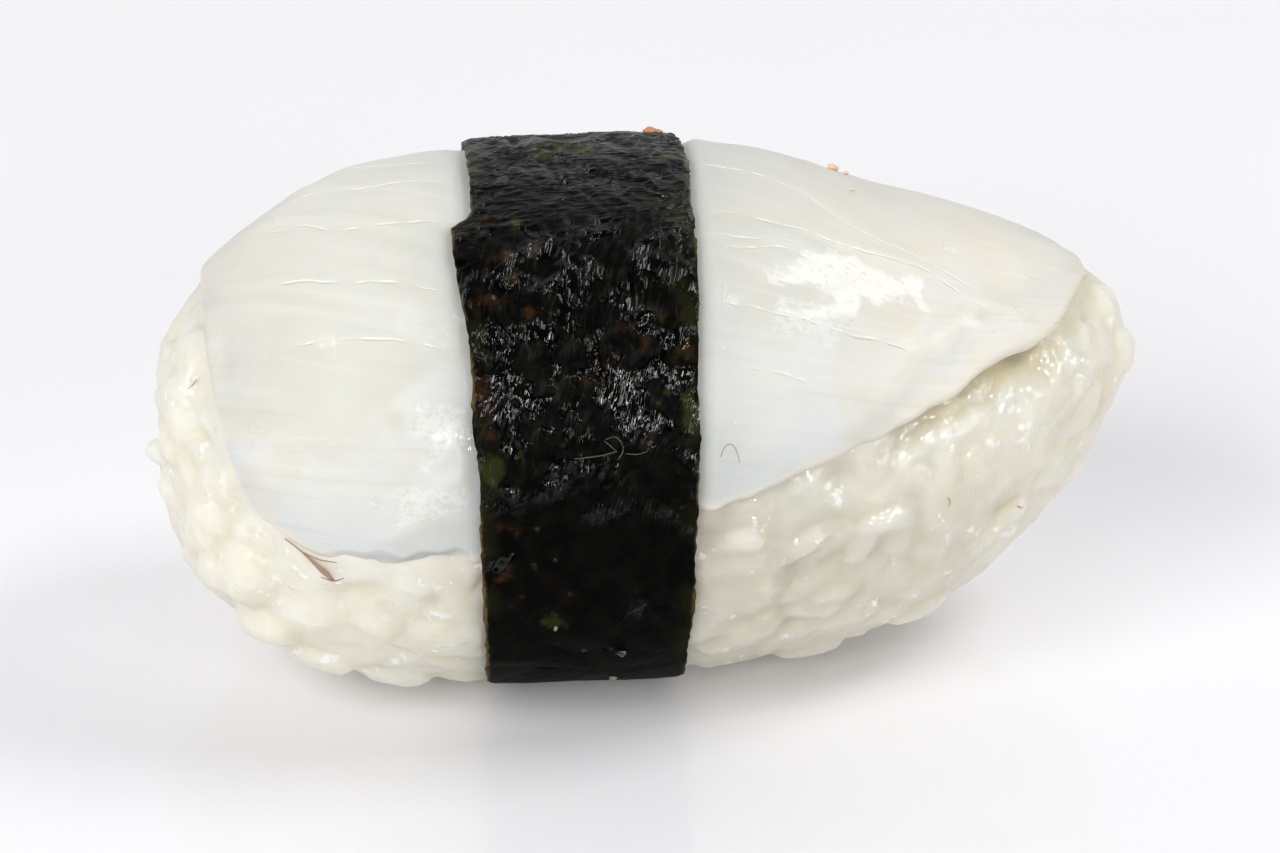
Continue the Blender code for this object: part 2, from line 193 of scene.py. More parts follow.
def band_edge(angle, side):
    """The station of the band's left (-1) or right (+1) edge at an angle."""
    rise = np.sin(np.radians(angle))
    lean = -BAND_LEAN * HALF_WIDTH * np.cos(np.radians(angle))
    half = BAND_HALF_BOTTOM + (BAND_HALF_TOP - BAND_HALF_BOTTOM) * (1 + rise) / 2
    shift = 0
    if side < 0:
        above = ease(*NOTCH_ANGLES, angle)
        shift = NOTCH_DEPTH * (above - ease(30, 66, angle) * (1 - above))
    under = 1 - ease(-84, -52, angle)
    return BAND_MIDDLE + lean + side * half + shift - side * 0.0022 * under


def band_inside(station, angle):
    """Metres inside the band's edges, below 0 beside it."""
    return np.minimum(station - band_edge(angle, -1), band_edge(angle, 1) - station)


def band_shade(station, angle, right, left):
    """1 at the band, fading beside it over one length to the right and one to the left."""
    beside = np.clip(-band_inside(station, angle), 0, None)
    return np.exp(-beside / np.where(station > BAND_MIDDLE, right, left))


def flap_near(station):
    """1 where the topping's front edge stands off the rice most, fading to both sides."""
    return np.exp(-((station - FLAP_STATION) / FLAP_REACH) ** 2)


def patches(station, angle, kinds, full, gone, waver=1.0, least=0.0):
    """The strongest of some soft-edged patches at each point, and at least least. Each has a
    station, an angle, a reach along in mm and round in degrees, and a strength; full and gone
    are the shares of its reach where it starts to fade and where it ends."""
    worth = np.zeros_like(station) + least
    for at, turned, along, around, strength in kinds:
        away = np.hypot((station * 1000 - at) / along, (angle - turned) / around)
        worth = np.maximum(worth, strength * (1 - ease(full, gone, away * waver)))
    return worth


def grid_faces(columns, rows, start=0, closed=False):
    """Faces of a grid of points stored column by column; closed joins the last row."""
    column, row = np.meshgrid(np.arange(columns - 1), np.arange(rows if closed else rows - 1),
                              indexing="ij")
    a = start + column * rows + row
    b = start + column * rows + (row + 1) % rows
    return np.stack([a, b, b + rows, a + rows], -1).reshape(-1, 4)


def capped_faces(rings, sides):
    """Faces of rings of points that two tips close, the two points that follow them."""
    faces = grid_faces(rings, sides, closed=True).tolist()
    first, last, end = rings * sides, rings * sides + 1, (rings - 1) * sides
    for side in range(sides):
        after = (side + 1) % sides
        faces += [(first, after, side), (last, end + side, end + after)]
    return faces


def mesh_piece(name, points, faces):
    """An object of a closed mesh in the scene, shaded smooth, faces out."""
    mesh = bpy.data.meshes.new(name)
    mesh.from_pydata(np.asarray(points).tolist(), [], [list(map(int, face)) for face in faces])
    shape = bmesh.new()
    shape.from_mesh(mesh)
    bmesh.ops.remove_doubles(shape, verts=shape.verts, dist=1e-6)
    bmesh.ops.recalc_face_normals(shape, faces=shape.faces)
    shape.to_mesh(mesh)
    shape.free()
    mesh.shade_smooth()
    piece = bpy.data.objects.new(name, mesh)
    bpy.context.scene.collection.objects.link(piece)
    return piece


def paint(piece, name, values):
    """Stores a value or a vector for each point of a piece, for its material to read."""
    values = np.asarray(values, np.float32)
    kind, field = ("FLOAT_VECTOR", "vector") if values.ndim == 2 else ("FLOAT", "value")
    layer = piece.data.attributes.new(name, kind, "POINT")
    layer.data.foreach_set(field, values.ravel())


def points_of(piece):
    points = np.empty(len(piece.data.vertices) * 3)
    piece.data.vertices.foreach_get("co", points)
    return points.reshape(-1, 3)


def settle(piece):
    """Turns a piece's modifiers into plain mesh and takes them off."""
    bpy.context.view_layer.update()
    graph = bpy.context.evaluated_depsgraph_get()
    piece.data = bpy.data.meshes.new_from_object(piece.evaluated_get(graph))
    piece.modifiers.clear()


RICE_CORE_COLUMNS = 90
RICE_CORE_ANGLES = 130
RICE_CORE_DEPTH = 0.00048
RICE_SPACING = 0.0020
RICE_GRAIN = (0.0018, 0.0025, 0.0050)
RICE_UNDER_TOPPING = 0.0007
RICE_TOP_LIMIT = 0.0015
RICE_WELL_UNDER_TOPPING = 0.0025
RICE_WELL_UNDER_BAND = 0.0010
RICE_VOXEL = 0.000228
RICE_HIDDEN_SHARE = 0.54
RICE_CLEAR = (0.785, 0.745, 0.63)
RICE_MILKY = (0.81, 0.785, 0.695)
RICE_HOLLOW_SHADE = (0.77, 0.68, 0.44)
RICE_CHALKY = (0.86, 0.86, 0.84)
RICE_SHADED = (0.50, 0.46, 0.37)
RICE_PAINTED_GLINTS = (0.97, 0.96, 0.91)
# Wet relief: its fine and coarse scale, and the share of the fine one.
RICE_SKIN_RELIEF = (2300, 1000, 0.5)
RICE_WATER_RELIEF = (1700, 700, 0.40)
# Lobes of pressed grains low on the block: station, angle, length, height, way, top, in mm.
RICE_LOBES = (
    (-23.2, -31, 6.0, 5.2, 25, 0.25), (-18.8, -29, 4.2, 5.0, 70, 0.0),
    (-14.6, -31, 6.8, 4.6, -5, 0.1), (10.7, -36, 5.6, 4.4, 15, 0.1), (4.2, -34, 5.6, 4.6, 5, 0.1),
    (15.6, -30, 4.8, 4.0, 25, 0.1), (-26.6, -24, 5.6, 5.0, 60, 0.9),
    (-28.6, -12, 5.2, 4.4, 85, 0.5), (-28.6, 66, 5.4, 4.6, 60, 1.3), (-29.4, 48, 5.6, 4.6, 80, 0.8),
    (-24.0, -12, 6.4, 4.6, 40, -0.1), (-16.4, -18, 5.4, 4.2, 15, -0.15),
    (29.2, 62, 3.6, 3.0, 90, 0.6), (30.3, 22, 3.8, 3.2, 90, 0.7), (20.4, -30, 3.4, 3.0, 20, 0.1),
    (-25.0, -44, 5.0, 3.6, 40, 0.8), (-21.6, -52, 5.0, 3.4, 10, 0.65),
    (-17.0, -56, 5.4, 3.4, 0, 0.6), (-12.9, -58, 4.6, 3.2, 10, 0.5),
    (-27.8, -30, 4.4, 3.4, 70, 0.8), (-30.4, 30, 3.6, 2.8, 80, 0.6),
    (-30.6, -20, 3.4, 2.8, 85, 0.6), (27.6, -6, 4.0, 3.0, 70, 0.3), (25.0, -22, 4.0, 3.0, 40, 0.2),
    (21.5, -38, 4.4, 3.0, 20, 0.25), (16.0, -48, 5.0, 3.2, 10, 0.3), (9.0, -54, 5.4, 3.2, 0, 0.35),
    (30.0, 2, 3.8, 3.0, 85, 0.3),
)
# Whole grains that stand out: station, angle, way they lie, tilt, length, top, how white.
RICE_WHOLE = (
    (3.4, -6.4, 8, 20, 3.2, 0.3, 0.45), (12.2, -5.5, 10, 12, 3.5, 0.25, 0.3),
    (17.6, 15, 30, 15, 4.0, 0.1, 0.15), (7.3, -9.2, 25, 8, 3.6, 0.1, 0),
    (-30.95, 0, 0, 60, 3.0, 1.2, 0.2), (20.6, 20, 50, 15, 3.8, 0.1, 0.1),
    (-17.0, -14, -20, 10, 4.0, 0.1, 0.1), (9.0, -25, 10, 8, 4.0, 0.1, 0.1),
    (8.6, 11, 60, 15, 3.4, 0.1, 0), (-27.6, 8, 70, 10, 4.0, 0.0, 0), (22.4, 6, 70, 10, 4.0, 0.1, 0),
    (-10.9, -18, 20, 10, 3.4, 0.1, 0), (24.9, -20, 60, 10, 3.2, 0.2, 0),
    (22.0, -27, 20, 10, 3.2, 0.2, 0), (28.0, -4, 80, 10, 3.4, 0.1, 0),
)
# Pits between grains and dents in the block: station, angle, reach and depth in mm.
RICE_PITS = (
    (2.3, 0.5, 0.8, 0.7), (9.8, 9.5, 1.0, 0.7), (14.6, 18.5, 1.2, 0.7), (1.2, -4, 0.9, 0.5),
    (19.0, 29.5, 2.4, 0.8), (22.5, 36, 1.8, 0.7), (16.4, 24.5, 1.4, 0.5), (7.0, -15, 0.8, 0.5),
    (-10.8, -12, 0.9, 0.5), (-15.5, -20, 0.8, 0.5), (-21.0, -20, 0.9, 0.5), (-25.0, 2, 0.9, 0.4),
    (-29.6, 62, 0.6, 0.5), (-29.0, 45, 0.6, 0.4), (-28.4, 30, 0.7, 0.4), (12.6, -14, 0.7, 0.4),
    (-31.0, 0, 4.5, 1.3), (27.0, -16, 5.0, 0.9), (22.0, -34, 3.6, 0.6),
)
# Where water stands on the rice and glints: station, angle, reach along in mm and round.
RICE_WATER = (
    (9.2, 21.7, 1.6, 4), (10.8, 16.8, 1.8, 4), (15.8, 17.9, 2.2, 5), (20.9, 21, 2.2, 6),
    (22.7, 4.5, 1.8, 5), (4.4, 1.9, 1.6, 4), (5.0, -10.8, 2.2, 3), (7.6, -9.5, 1.8, 3),
    (16.2, 26.6, 2.6, 4), (25.0, 30, 2.6, 8), (18.6, 10, 1.4, 3), (2.0, 2.0, 0.9, 4),
    (12.4, -4.6, 1.6, 3), (7.0, -18, 1.2, 2.5), (13.5, 12, 1.2, 3), (27.6, 16, 1.6, 7),
    (-29.0, 52, 1.6, 9), (-28.6, 30, 1.2, 14), (-27.6, 6, 1.6, 8), (-25.4, -8, 1.6, 6),
    (-22.0, -14, 2.4, 5), (-13.0, -14, 2.6, 5), (-11.2, -8, 1.2, 4), (-18.4, -22, 2.6, 4),
    (-24.6, -22, 2.0, 5), (-28.2, -14, 1.4, 8),
)


def sunk_edge(station):
    """Where the topping's edge lies sunk in the rice, at both ends: 1 there, 0 elsewhere."""
    return np.maximum(1 - ease(-0.014, -0.011, station), ease(0.0245, 0.0262, station))


def rice_core():
    """The pressed rice among the grains, lumpy, and kept under the topping and the band."""
    turn = np.linspace(-math.pi / 2, math.pi / 2, RICE_CORE_COLUMNS + 1)[1:-1]
    station = np.repeat(HALF_LENGTH * np.sin(turn)[:, None], RICE_CORE_ANGLES, 1)
    angle = np.linspace(-90, 270, RICE_CORE_ANGLES, endpoint=False)
    angle = np.broadcast_to(angle, station.shape)
    margin = topping_margin(station, angle)
    skin = mound_skin(station, angle)
    lumps = 0.00020 * ripples(skin, 0.0075, 5) + 0.00010 * ripples(skin, 0.0032, 6)
    lift = -RICE_CORE_DEPTH + lumps
    flush = ease(-0.0014, -0.0002, margin) * (1 - ease(0.0003, 0.0009, margin)) * sunk_edge(station)
    lift = lift * (1 - flush) - 0.00018 * flush
    covered = ease(0.0008, 0.0016, margin)
    lift = lift * (1 - covered) - (topping_thickness(margin) + RICE_CLEARANCE) * covered
    banded = ease(-0.0006, -0.0002, band_inside(station, angle))
    lift = np.minimum(lift, lift * (1 - banded) - RICE_CLEARANCE * banded)
    points = mound_point(station, angle, lift)
    points[..., 2] = np.maximum(points[..., 2], 0.0003 + 0.0006 * banded)
    tips = [mound_skin(side * HALF_LENGTH, 0) - (side * RICE_CORE_DEPTH, 0, 0)
            for side in (-1, 1)]
    faces = capped_faces(RICE_CORE_COLUMNS - 1, RICE_CORE_ANGLES)
    return np.vstack([points.reshape(-1, 3), tips]), faces


def lie_on_mound(station, angle, heading, tilt, size, top):
    """The place and turn of a grain whose highest point stands at top over the surface.

    Heading is from +X along the surface, tilt lifts one end out of it. A grain that would
    meet the topping or the band sinks; one that would sink too far gives None."""
    skin = Vector(mound_skin(station, angle))
    out = Vector(mound_normal(station, angle))
    east = Vector((1, 0, 0)) if abs(out.x) < 0.95 else Vector((0, 0, 1))
    east = (east - out * east.dot(out)).normalized()
    level = east * math.cos(heading) + out.cross(east) * math.sin(heading)
    long_way = level * math.cos(tilt) + out * math.sin(tilt)
    across = long_way.cross(out).normalized()
    thin = across.cross(long_way).normalized()
    turn = Matrix((thin, across, long_way)).transposed()
    rise = math.hypot(size[2] / 2 * math.sin(tilt), size[0] / 2 * math.cos(tilt))
    centre = skin + out * (top - rise)
    half = long_way * size[2] / 2
    probes = np.array([centre - half * 0.8, centre, centre + half * 0.8])
    at, turned, lift = place_on_mound(probes)
    tall = np.array([0.6, 1, 0.6]) * size[0] / 2
    margin = topping_margin(at, turned)
    under = margin > -0.0003
    banded = band_inside(at, turned) > -0.0004
    raised = sunk_edge(at) * (1 - ease(0.0003, 0.0009, margin))
    flush = -RICE_UNDER_TOPPING + (RICE_UNDER_TOPPING - 0.00012) * raised
    limit = np.where(under, flush, np.where(banded, -RICE_CLEARANCE, 1.0))
    sink = max(0.0, float(np.max(lift + tall - limit)))
    if sink > 0.0020:
        return None
    return centre - out * sink, turn.to_euler()


def rice_places():
    """Where each grain lies, which way it points, and its size, by a seeded rule."""
    rng = np.random.default_rng(4)
    columns = round((2 * HALF_LENGTH + HALF_HEIGHT) / RICE_SPACING)
    places, turns, sizes = [], [], []

    def add(station, angle, heading, tilt, size, top):
        laid = lie_on_mound(station, angle, heading, tilt, size, top)
        if laid:
            places.append(laid[0])
            turns.append(laid[1])
            sizes.append(size)

    for column in range(columns):
        turn = math.pi * ((column + 0.5) / columns - 0.5)
        girth = float(mound_girth(HALF_LENGTH * math.sin(turn)))
        rows = max(4, round(2 * math.pi * HALF_WIDTH * girth / RICE_SPACING))
        for row in range(rows):
            jitter = rng.uniform(-0.48, 0.48, 2)
            station = HALF_LENGTH * math.sin(turn + jitter[0] * math.pi / columns)
            station = float(np.clip(station, -0.985 * HALF_LENGTH, 0.985 * HALF_LENGTH))
            angle = (360 * (row + 0.5 * (column % 2) + jitter[1]) / rows) % 360 - 90
            heading = rng.uniform(0, math.pi)
            end_on = rng.uniform() < 0.08
            tilt = rng.uniform(0.4, 0.9) if end_on else rng.normal(0, 0.16)
            size = np.array(RICE_GRAIN) * rng.uniform(0.8, 1.1, 3)
            top = -0.00024 + rng.normal(0, 0.00008)
            if topping_margin(station, angle) < 0.0012 and band_inside(station, angle) < 0.0004:
                smear = float(ripples(mound_skin(station, angle), 0.010, 9))
                add(station, angle, heading, tilt, size, top - 0.00014 * max(smear, -0.8))
    for station, angle, length, height, way, top in RICE_LOBES:
        size = np.array((height * 0.9, height, length)) / 1000
        add(station / 1000, angle, math.radians(way), 0.0, size, top / 1000)
    for station, angle, way, tilt, length, top, _ in RICE_WHOLE:
        size = np.array((0.0018, 0.0018, length / 1000))
        add(station / 1000, angle, math.radians(way), math.radians(tilt), size, top / 1000)
    return places, turns, sizes


def grain_tones(points, places):
    """Every point takes the tone of the grain it is nearest to, from 0, clear, to 1, milky."""
    rng = np.random.default_rng(11)
    tones = rng.uniform(0, 1, len(places)) ** 1.5
    tree = KDTree(len(places))
    for index, place in enumerate(places):
        tree.insert(place, index)
    tree.balance()
    return np.array([tones[tree.find(point)[1]] for point in points])


class Nodes:
    """A node tree, with short ways to add the nodes that the pieces here need."""

    def __init__(self, tree):
        self.tree = tree
        self.link = tree.links.new

    def feed(self, entry, value):
        """Links a socket to an entry, or sets the entry to a plain value."""
        if isinstance(value, bpy.types.NodeSocket):
            self.link(value, entry)
        elif entry.type == "RGBA":
            entry.default_value = (*value, 1)
        else:
            entry.default_value = value

    def node(self, kind, entries, **settings):
        """Adds a node with its settings and entries, and gives its outputs."""
        node = self.tree.nodes.new(kind)
        for name, value in settings.items():
            setattr(node, name, value)
        for name, value in entries.items():
            self.feed(node.inputs[name], value)
        return node.outputs

    def painted(self, name, output="Fac"):
        return self.node("ShaderNodeAttribute", {}, attribute_name=name)[output]

    def noise(self, where, scale, detail=2):
        entries = {"Vector": where, "Scale": scale, "Detail": detail}
        return self.node("ShaderNodeTexNoise", entries)["Fac"]

    def mapped(self, where, scale, turn=0.0, kind="POINT"):
        entries = {"Vector": where, "Rotation": (0, 0, turn), "Scale": scale}
        return self.node("ShaderNodeMapping", entries, vector_type=kind)["Vector"]

    def range(self, value, low, high, start=0.0, stop=1.0):
        """Value, which runs from start to stop, mapped to run from low to high."""
        entries = {"Value": value, "From Min": start, "From Max": stop,
                   "To Min": low, "To Max": high}
        return self.node("ShaderNodeMapRange", entries)["Result"]

    def math(self, operation, *values):
        return self.node("ShaderNodeMath", dict(enumerate(values)), operation=operation)["Value"]

    def blend(self, factor, first, second):
        """A mix of two values."""
        return self.node("ShaderNodeMix", {"Factor": factor, "A": first, "B": second})["Result"]

    def mix(self, factor, first, second):
        """A mix of two colours."""
        entries = {"Factor": factor, "A": first, "B": second}
        return self.node("ShaderNodeMix", entries, data_type="RGBA")["Result"]

    def bump(self, height, distance):
        entries = {"Height": height, "Strength": 1.0, "Distance": distance}
        return self.node("ShaderNodeBump", entries)["Normal"]

    def height(self, where, fine, coarse, fine_share):
        """The height of a wet surface, uneven in two sizes."""
        return self.blend(fine_share, self.noise(where, coarse), self.noise(where, fine))

    def damp(self, where, scale):
        """A mask of damp places, with dry ones between them."""
        return self.range(self.noise(where, scale), 0, 1, 0.42, 0.60)


def grain_tree():
    """Lays a grain on every point, turned and sized by the point's own attributes."""
    tree = bpy.data.node_groups.new("lay grains", "GeometryNodeTree")
    for name, kind in (("Places", "Geometry"), ("Form", "Object"), ("Material", "Material")):
        tree.interface.new_socket(name, in_out="INPUT", socket_type="NodeSocket" + kind)
    tree.interface.new_socket("Grains", in_out="OUTPUT", socket_type="NodeSocketGeometry")
    rule = Nodes(tree)
    given = rule.node("NodeGroupInput", {})
    turn, size = (rule.node("GeometryNodeInputNamedAttribute", {"Name": name},
                            data_type="FLOAT_VECTOR")["Attribute"] for name in ("turn", "size"))
    grain = rule.node("GeometryNodeObjectInfo", {"Object": given["Form"]})["Geometry"]
    spin = rule.node("FunctionNodeEulerToRotation", {"Euler": turn})["Rotation"]
    laid = rule.node("GeometryNodeInstanceOnPoints", {
        "Points": given["Places"], "Instance": grain, "Rotation": spin, "Scale": size})["Instances"]
    real = rule.node("GeometryNodeRealizeInstances", {"Geometry": laid})["Geometry"]
    finished = rule.node("GeometryNodeSetMaterial",
                         {"Geometry": real, "Material": given["Material"]})["Geometry"]
    rule.node("NodeGroupOutput", {"Grains": finished})
    return tree


def grain_form(rings=10, sides=14):
    """One cooked grain, 1 by 1 by 1: blunt at both ends and fuller towards one of them."""
    rise = np.cos(np.linspace(0, math.pi, rings + 1)[1:-1]) / 2
    radius = 0.5 * (1 - np.abs(2 * rise) ** 2.7) ** (1 / 2.1) * (1 + 0.16 * rise)
    turn = np.linspace(0, 2 * math.pi, sides, endpoint=False)
    points = np.stack([radius[:, None] * np.cos(turn), radius[:, None] * np.sin(turn),
                       np.repeat(rise[:, None], sides, 1)], -1).reshape(-1, 3)
    tips = [(0, 0, 0.5), (0, 0, -0.5)]
    return mesh_piece("grain_form", np.vstack([points, tips]), capped_faces(rings - 1, sides))


def lay_grains(name, places, turns, sizes, material, tree, form):
    """Grains as one plain mesh, laid by the tree."""
    mesh = bpy.data.meshes.new(name)
    mesh.from_pydata([tuple(place) for place in places], [], [])
    for label, vectors in (("turn", turns), ("size", sizes)):
        layer = mesh.attributes.new(label, "FLOAT_VECTOR", "POINT")
        layer.data.foreach_set("vector", np.array([tuple(v) for v in vectors]).ravel())
    piece = bpy.data.objects.new(name, mesh)
    bpy.context.scene.collection.objects.link(piece)
    modifier = piece.modifiers.new("grains", "NODES")
    modifier.node_group = tree
    sockets = {item.name: item.identifier for item in tree.interface.items_tree}
    modifier[sockets["Material"]] = material
    modifier[sockets["Form"]] = form
    settle(piece)
    return piece


def relief_group():
    """The height of a wet surface as a group, for the materials that share it."""
    group = bpy.data.node_groups.new("wet relief", "ShaderNodeTree")
    names = ("Where", "Fine scale", "Coarse scale", "Fine share")
    for name in names:
        kind = "NodeSocketVector" if name == "Where" else "NodeSocketFloat"
        group.interface.new_socket(name, in_out="INPUT", socket_type=kind)
    group.interface.new_socket("Height", in_out="OUTPUT", socket_type="NodeSocketFloat")
    surface = Nodes(group)
    given = surface.node("NodeGroupInput", {})
    surface.node("NodeGroupOutput", {"Height": surface.height(*(given[name] for name in names))})
    return group


wet_relief = relief_group()


class Finish(Nodes):
    """A material in the making, with its shader."""

    def __init__(self, name):
        self.material = bpy.data.materials.new(name)
        self.material.use_nodes = True
        super().__init__(self.material.node_tree)
        self.shader = self.tree.nodes["Principled BSDF"]

    def give(self, **values):
        """Gives the shader's entries a socket or a value each; _ stands for a space."""
        for name, value in values.items():
            self.feed(self.shader.inputs[name.replace("_", " ")], value)

    def shared_height(self, where, fine, coarse, fine_share):
        """The height of a wet surface, from the group."""
        entries = {"Where": where, "Fine scale": fine, "Coarse scale": coarse,
                   "Fine share": fine_share}
        return self.node("ShaderNodeGroup", entries, node_tree=wet_relief)["Height"]


def rice_material():
    """Cooked rice: pale and a little see-through, wet in places, with painted shade in its hollows.
    """
    look = Finish("rice")
    where = look.node("ShaderNodeTexCoord", {})["Object"]
    tone = look.mix(look.painted("tone"), RICE_CLEAR, RICE_MILKY)
    # Painted shade: warmer and darker in the hollows and under the topping's flap.
    tone = look.mix(look.painted("hollow_shade"), tone, RICE_HOLLOW_SHADE)
    tone = look.mix(look.painted("white"), tone, RICE_CHALKY)
    # Painted shade beside the band and low on the right.
    tone = look.mix(look.painted("shade"), tone, RICE_SHADED)
    glint = look.painted("glint")
    water = look.height(where, *RICE_WATER_RELIEF)
    # Painted glints: the tips of the water drops are painted near-white.
    tips = look.math("MULTIPLY", glint, look.range(water, 0, 1, 0.59, 0.64))
    # Water glints only where the surface faces the eye enough to hold it.
    away = look.node("ShaderNodeLayerWeight", {"Blend": 0.5})["Facing"]
    look.give(
        Base_Color=look.mix(tips, tone, RICE_PAINTED_GLINTS),
        Roughness=0.5,
        Specular_IOR_Level=0.12,
        Normal=look.bump(look.shared_height(where, *RICE_SKIN_RELIEF), 0.00003),
        Coat_Weight=look.math("MULTIPLY", glint, look.range(away, 1.0, 0.0, 0.40, 0.75)),
        Coat_Normal=look.bump(water, 0.00048),
        Coat_Roughness=0.04,
        Subsurface_Weight=look.range(look.painted("seam"), 0.9, 0.15),
        Subsurface_Radius=(1.0, 0.82, 0.56),
        Subsurface_Scale=0.0048)
    return look.material


def rice_covered(station, angle):
    """Whether a place on the rice lies well under the topping or the band."""
    return ((topping_margin(station, angle) > RICE_WELL_UNDER_TOPPING)
            | (band_inside(station, angle) > RICE_WELL_UNDER_BAND))


def paint_rice(rice, places):
    """Paints tone, water, glints and painted shade on the block, for the material to read."""
    points = points_of(rice)
    at, turned, lift = place_on_mound(points)
    mottle = np.clip(0.5 + 0.4 * ripples(points, 0.0034, 11), 0, 1)
    paint(rice, "tone", 0.65 * mottle + 0.35 * grain_tones(points, places))
    margin = topping_margin(at, turned)
    # Painted shadow in the hollows and under the flap, where the topping's edge stands off the
    # rice.
    flap_shadow = flap_near(at) * (margin < 0.0010) * (1 - ease(0.0008, 0.0026, -margin))
    paint(rice, "hollow_shade", np.clip(ease(0.0010, 0.0024, -lift) + 0.8 * flap_shadow, 0, 1))
    white = np.zeros(len(points))
    for station, angle, *_, how_white in RICE_WHOLE:
        away = np.linalg.norm(points - mound_skin(station / 1000, angle), axis=1)
        white = np.maximum(white, how_white * (1 - ease(0.0003, 0.0018, away)))
    paint(rice, "white", white)
    dew = 0.8 * ease(0.1, 1.0, ripples(points, 0.0022, 10))
    water = [(*place, 1) for place in RICE_WATER]
    paint(rice, "glint", patches(at, turned, water, 0.5, 1.2, least=dew))
    # Along the topping's edge less light goes in, or the joint would show as a dark thread.
    paint(rice, "seam", 1 - ease(0.0005, 0.0016, np.abs(margin)))
    # Painted shade: greyer beside the band, which drinks the rice's light, and low on the right.
    low_right = ease(0.0, 0.006, at) * (1 - ease(0.014, 0.024, at)) * (1 - ease(-20, 20, turned))
    shade = 0.60 * band_shade(at, turned, 0.0050, 0.0030) + 0.34 * low_right
    paint(rice, "shade", np.clip(shade, 0, 1))


def make_rice():
    finish = rice_material()
    form = grain_form()
    places, turns, sizes = rice_places()
    grains = lay_grains("rice_grains", places, turns, sizes, finish, grain_tree(), form)
    bpy.data.objects.remove(form)
    core_points, core_faces = rice_core()
    rice = mesh_piece("rice_block", core_points, core_faces)
    shape = bmesh.new()
    shape.from_mesh(rice.data)
    shape.from_mesh(grains.data)
    shape.to_mesh(rice.data)
    shape.free()
    bpy.data.objects.remove(grains)
    melt = rice.modifiers.new("melt", "REMESH")
    melt.mode = "VOXEL"
    melt.voxel_size = RICE_VOXEL
    soften = rice.modifiers.new("soften", "SMOOTH")
    soften.factor = 0.5
    soften.iterations = 5
    settle(rice)
    points = points_of(rice)
    at, turned, _ = place_on_mound(points)
    for station, angle, reach, depth in RICE_PITS:
        away = np.linalg.norm(points - mound_skin(station / 1000, angle), axis=1) / (reach / 1000)
        points -= mound_normal(at, turned) * (depth / 1000 * np.exp(-away ** 2))[:, None]
    uneven = 0.000038 * ripples(points, 0.0018, 14) + 0.000018 * ripples(points, 0.0008, 15)
    points += mound_normal(at, turned) * uneven[:, None]
    points[:, 2] = np.maximum(points[:, 2], 0)
    rice.data.vertices.foreach_set("co", points.ravel())
    # What the topping, the band and the table hide keeps fewer faces.
    hidden = rice.vertex_groups.new(name="hidden")
    unseen = rice_covered(at, turned) | (points[:, 2] < 0.0002)
    hidden.add(np.flatnonzero(unseen).tolist(), 1.0, "REPLACE")
    thin_out = rice.modifiers.new("thin out", "DECIMATE")
    thin_out.vertex_group = "hidden"
    thin_out.vertex_group_factor = 10
    thin_out.ratio = RICE_HIDDEN_SHARE
    settle(rice)
    rice.vertex_groups.clear()
    # Thinning can throw a point out, which goes back under the topping or the band.
    points = points_of(rice)
    at, turned, lift = place_on_mound(points)
    margin = topping_margin(at, turned)
    under = np.where(margin > RICE_WELL_UNDER_TOPPING, -topping_thickness(margin), -RICE_CLEARANCE)
    highest = np.where(rice_covered(at, turned), under, RICE_TOP_LIMIT)
    stray = np.clip(lift - highest, 0, None)
    points -= mound_normal(at, turned) * stray[:, None]
    points[:, 2] = np.maximum(points[:, 2], 0)
    rice.data.vertices.foreach_set("co", points.ravel())
    rice.data.materials.clear()
    rice.data.materials.append(finish)
    rice.data.shade_smooth()
    paint_rice(rice, places)
    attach(rice, "root")
    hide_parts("rice")
    return rice


rice_block = make_rice()

# ---------------------------------------------------------------------------------------------
# The topping. A slab of white seafood, milky and a little see-through, sliced and scored along
# its length and draped over the rice; thick in the middle and thin and layered at its edges.

TOPPING_COLUMNS = 320
TOPPING_ROWS = 260
TOPPING_COARSE = 5
TOPPING_ROUND = 0.0006
TOPPING_SUNK = 0.0003
FLAP_LIFT = 0.0010
FLESH_CLEAR = (0.71, 0.705, 0.635)
FLESH_WARM = (0.79, 0.74, 0.64)
FLESH_MILKY = (0.80, 0.80, 0.765)
FLESH_SHADED = (0.50, 0.51, 0.48)
STRAND_CLEAR = (0.60, 0.59, 0.50)
STRAND_PALE = (0.88, 0.87, 0.83)
LINE_LIP_HIGHLIGHT = (0.95, 0.93, 0.88)
LINE_CREASE_SHADE = (0.60, 0.55, 0.45)
FILM_GAP_SHADE = (0.60, 0.59, 0.53)
FILM_HIGHLIGHT = (0.92, 0.91, 0.86)
STREAK_RELIEF = (2400, 1000, 0.4)
DROP_RELIEF = (2300, 1000, 0.45)
DAPPLE_RELIEF = (3600, 1700, 0.5)
DAMP_SCALE = 1100
# Lines on the slab: stations and angles that each passes, height and width of its lip, in mm.
TOPPING_STEPS = (
    ((-24.6, -20.7, -16.2, -12.9), (74, 65, 58, 52), 0.10, 0.4),
    ((-24.1, -18.3, -15.5, -13.2), (50, 46, 43, 40), 0.08, 0.35),
    ((-24.5, -20.1, -15.5, -12.0), (103, 83, 75, 72), 0.10, 0.5),
    ((-21.9, -18.3, -14.9, -11.4), (107, 97, 91, 87), 0.12, 0.5),
    ((-18.9, -15.5, -11.4), (119, 107, 99), 0.12, 0.5),
    ((2.6, 8.4, 12.2, 15.4, 21.1), (92, 85, 73, 67, 52), 0.08, 0.4),
    ((2.6, 8.2, 11.7, 16.7, 21.4), (71, 69, 64, 60, 44), 0.09, 0.4),
    ((2.3, 6.0, 8.4, 10.1), (64.5, 64, 63, 61), 0.07, 0.3),
    ((2.3, 8.4, 10.1), (61, 60, 57), 0.08, 0.3),
    ((1.8, 5.2, 10.7, 15.8), (48, 46, 41, 37), 0.12, 0.6),
    ((2.0, 7.2, 9.0), (33, 31, 29), 0.07, 0.5),
)
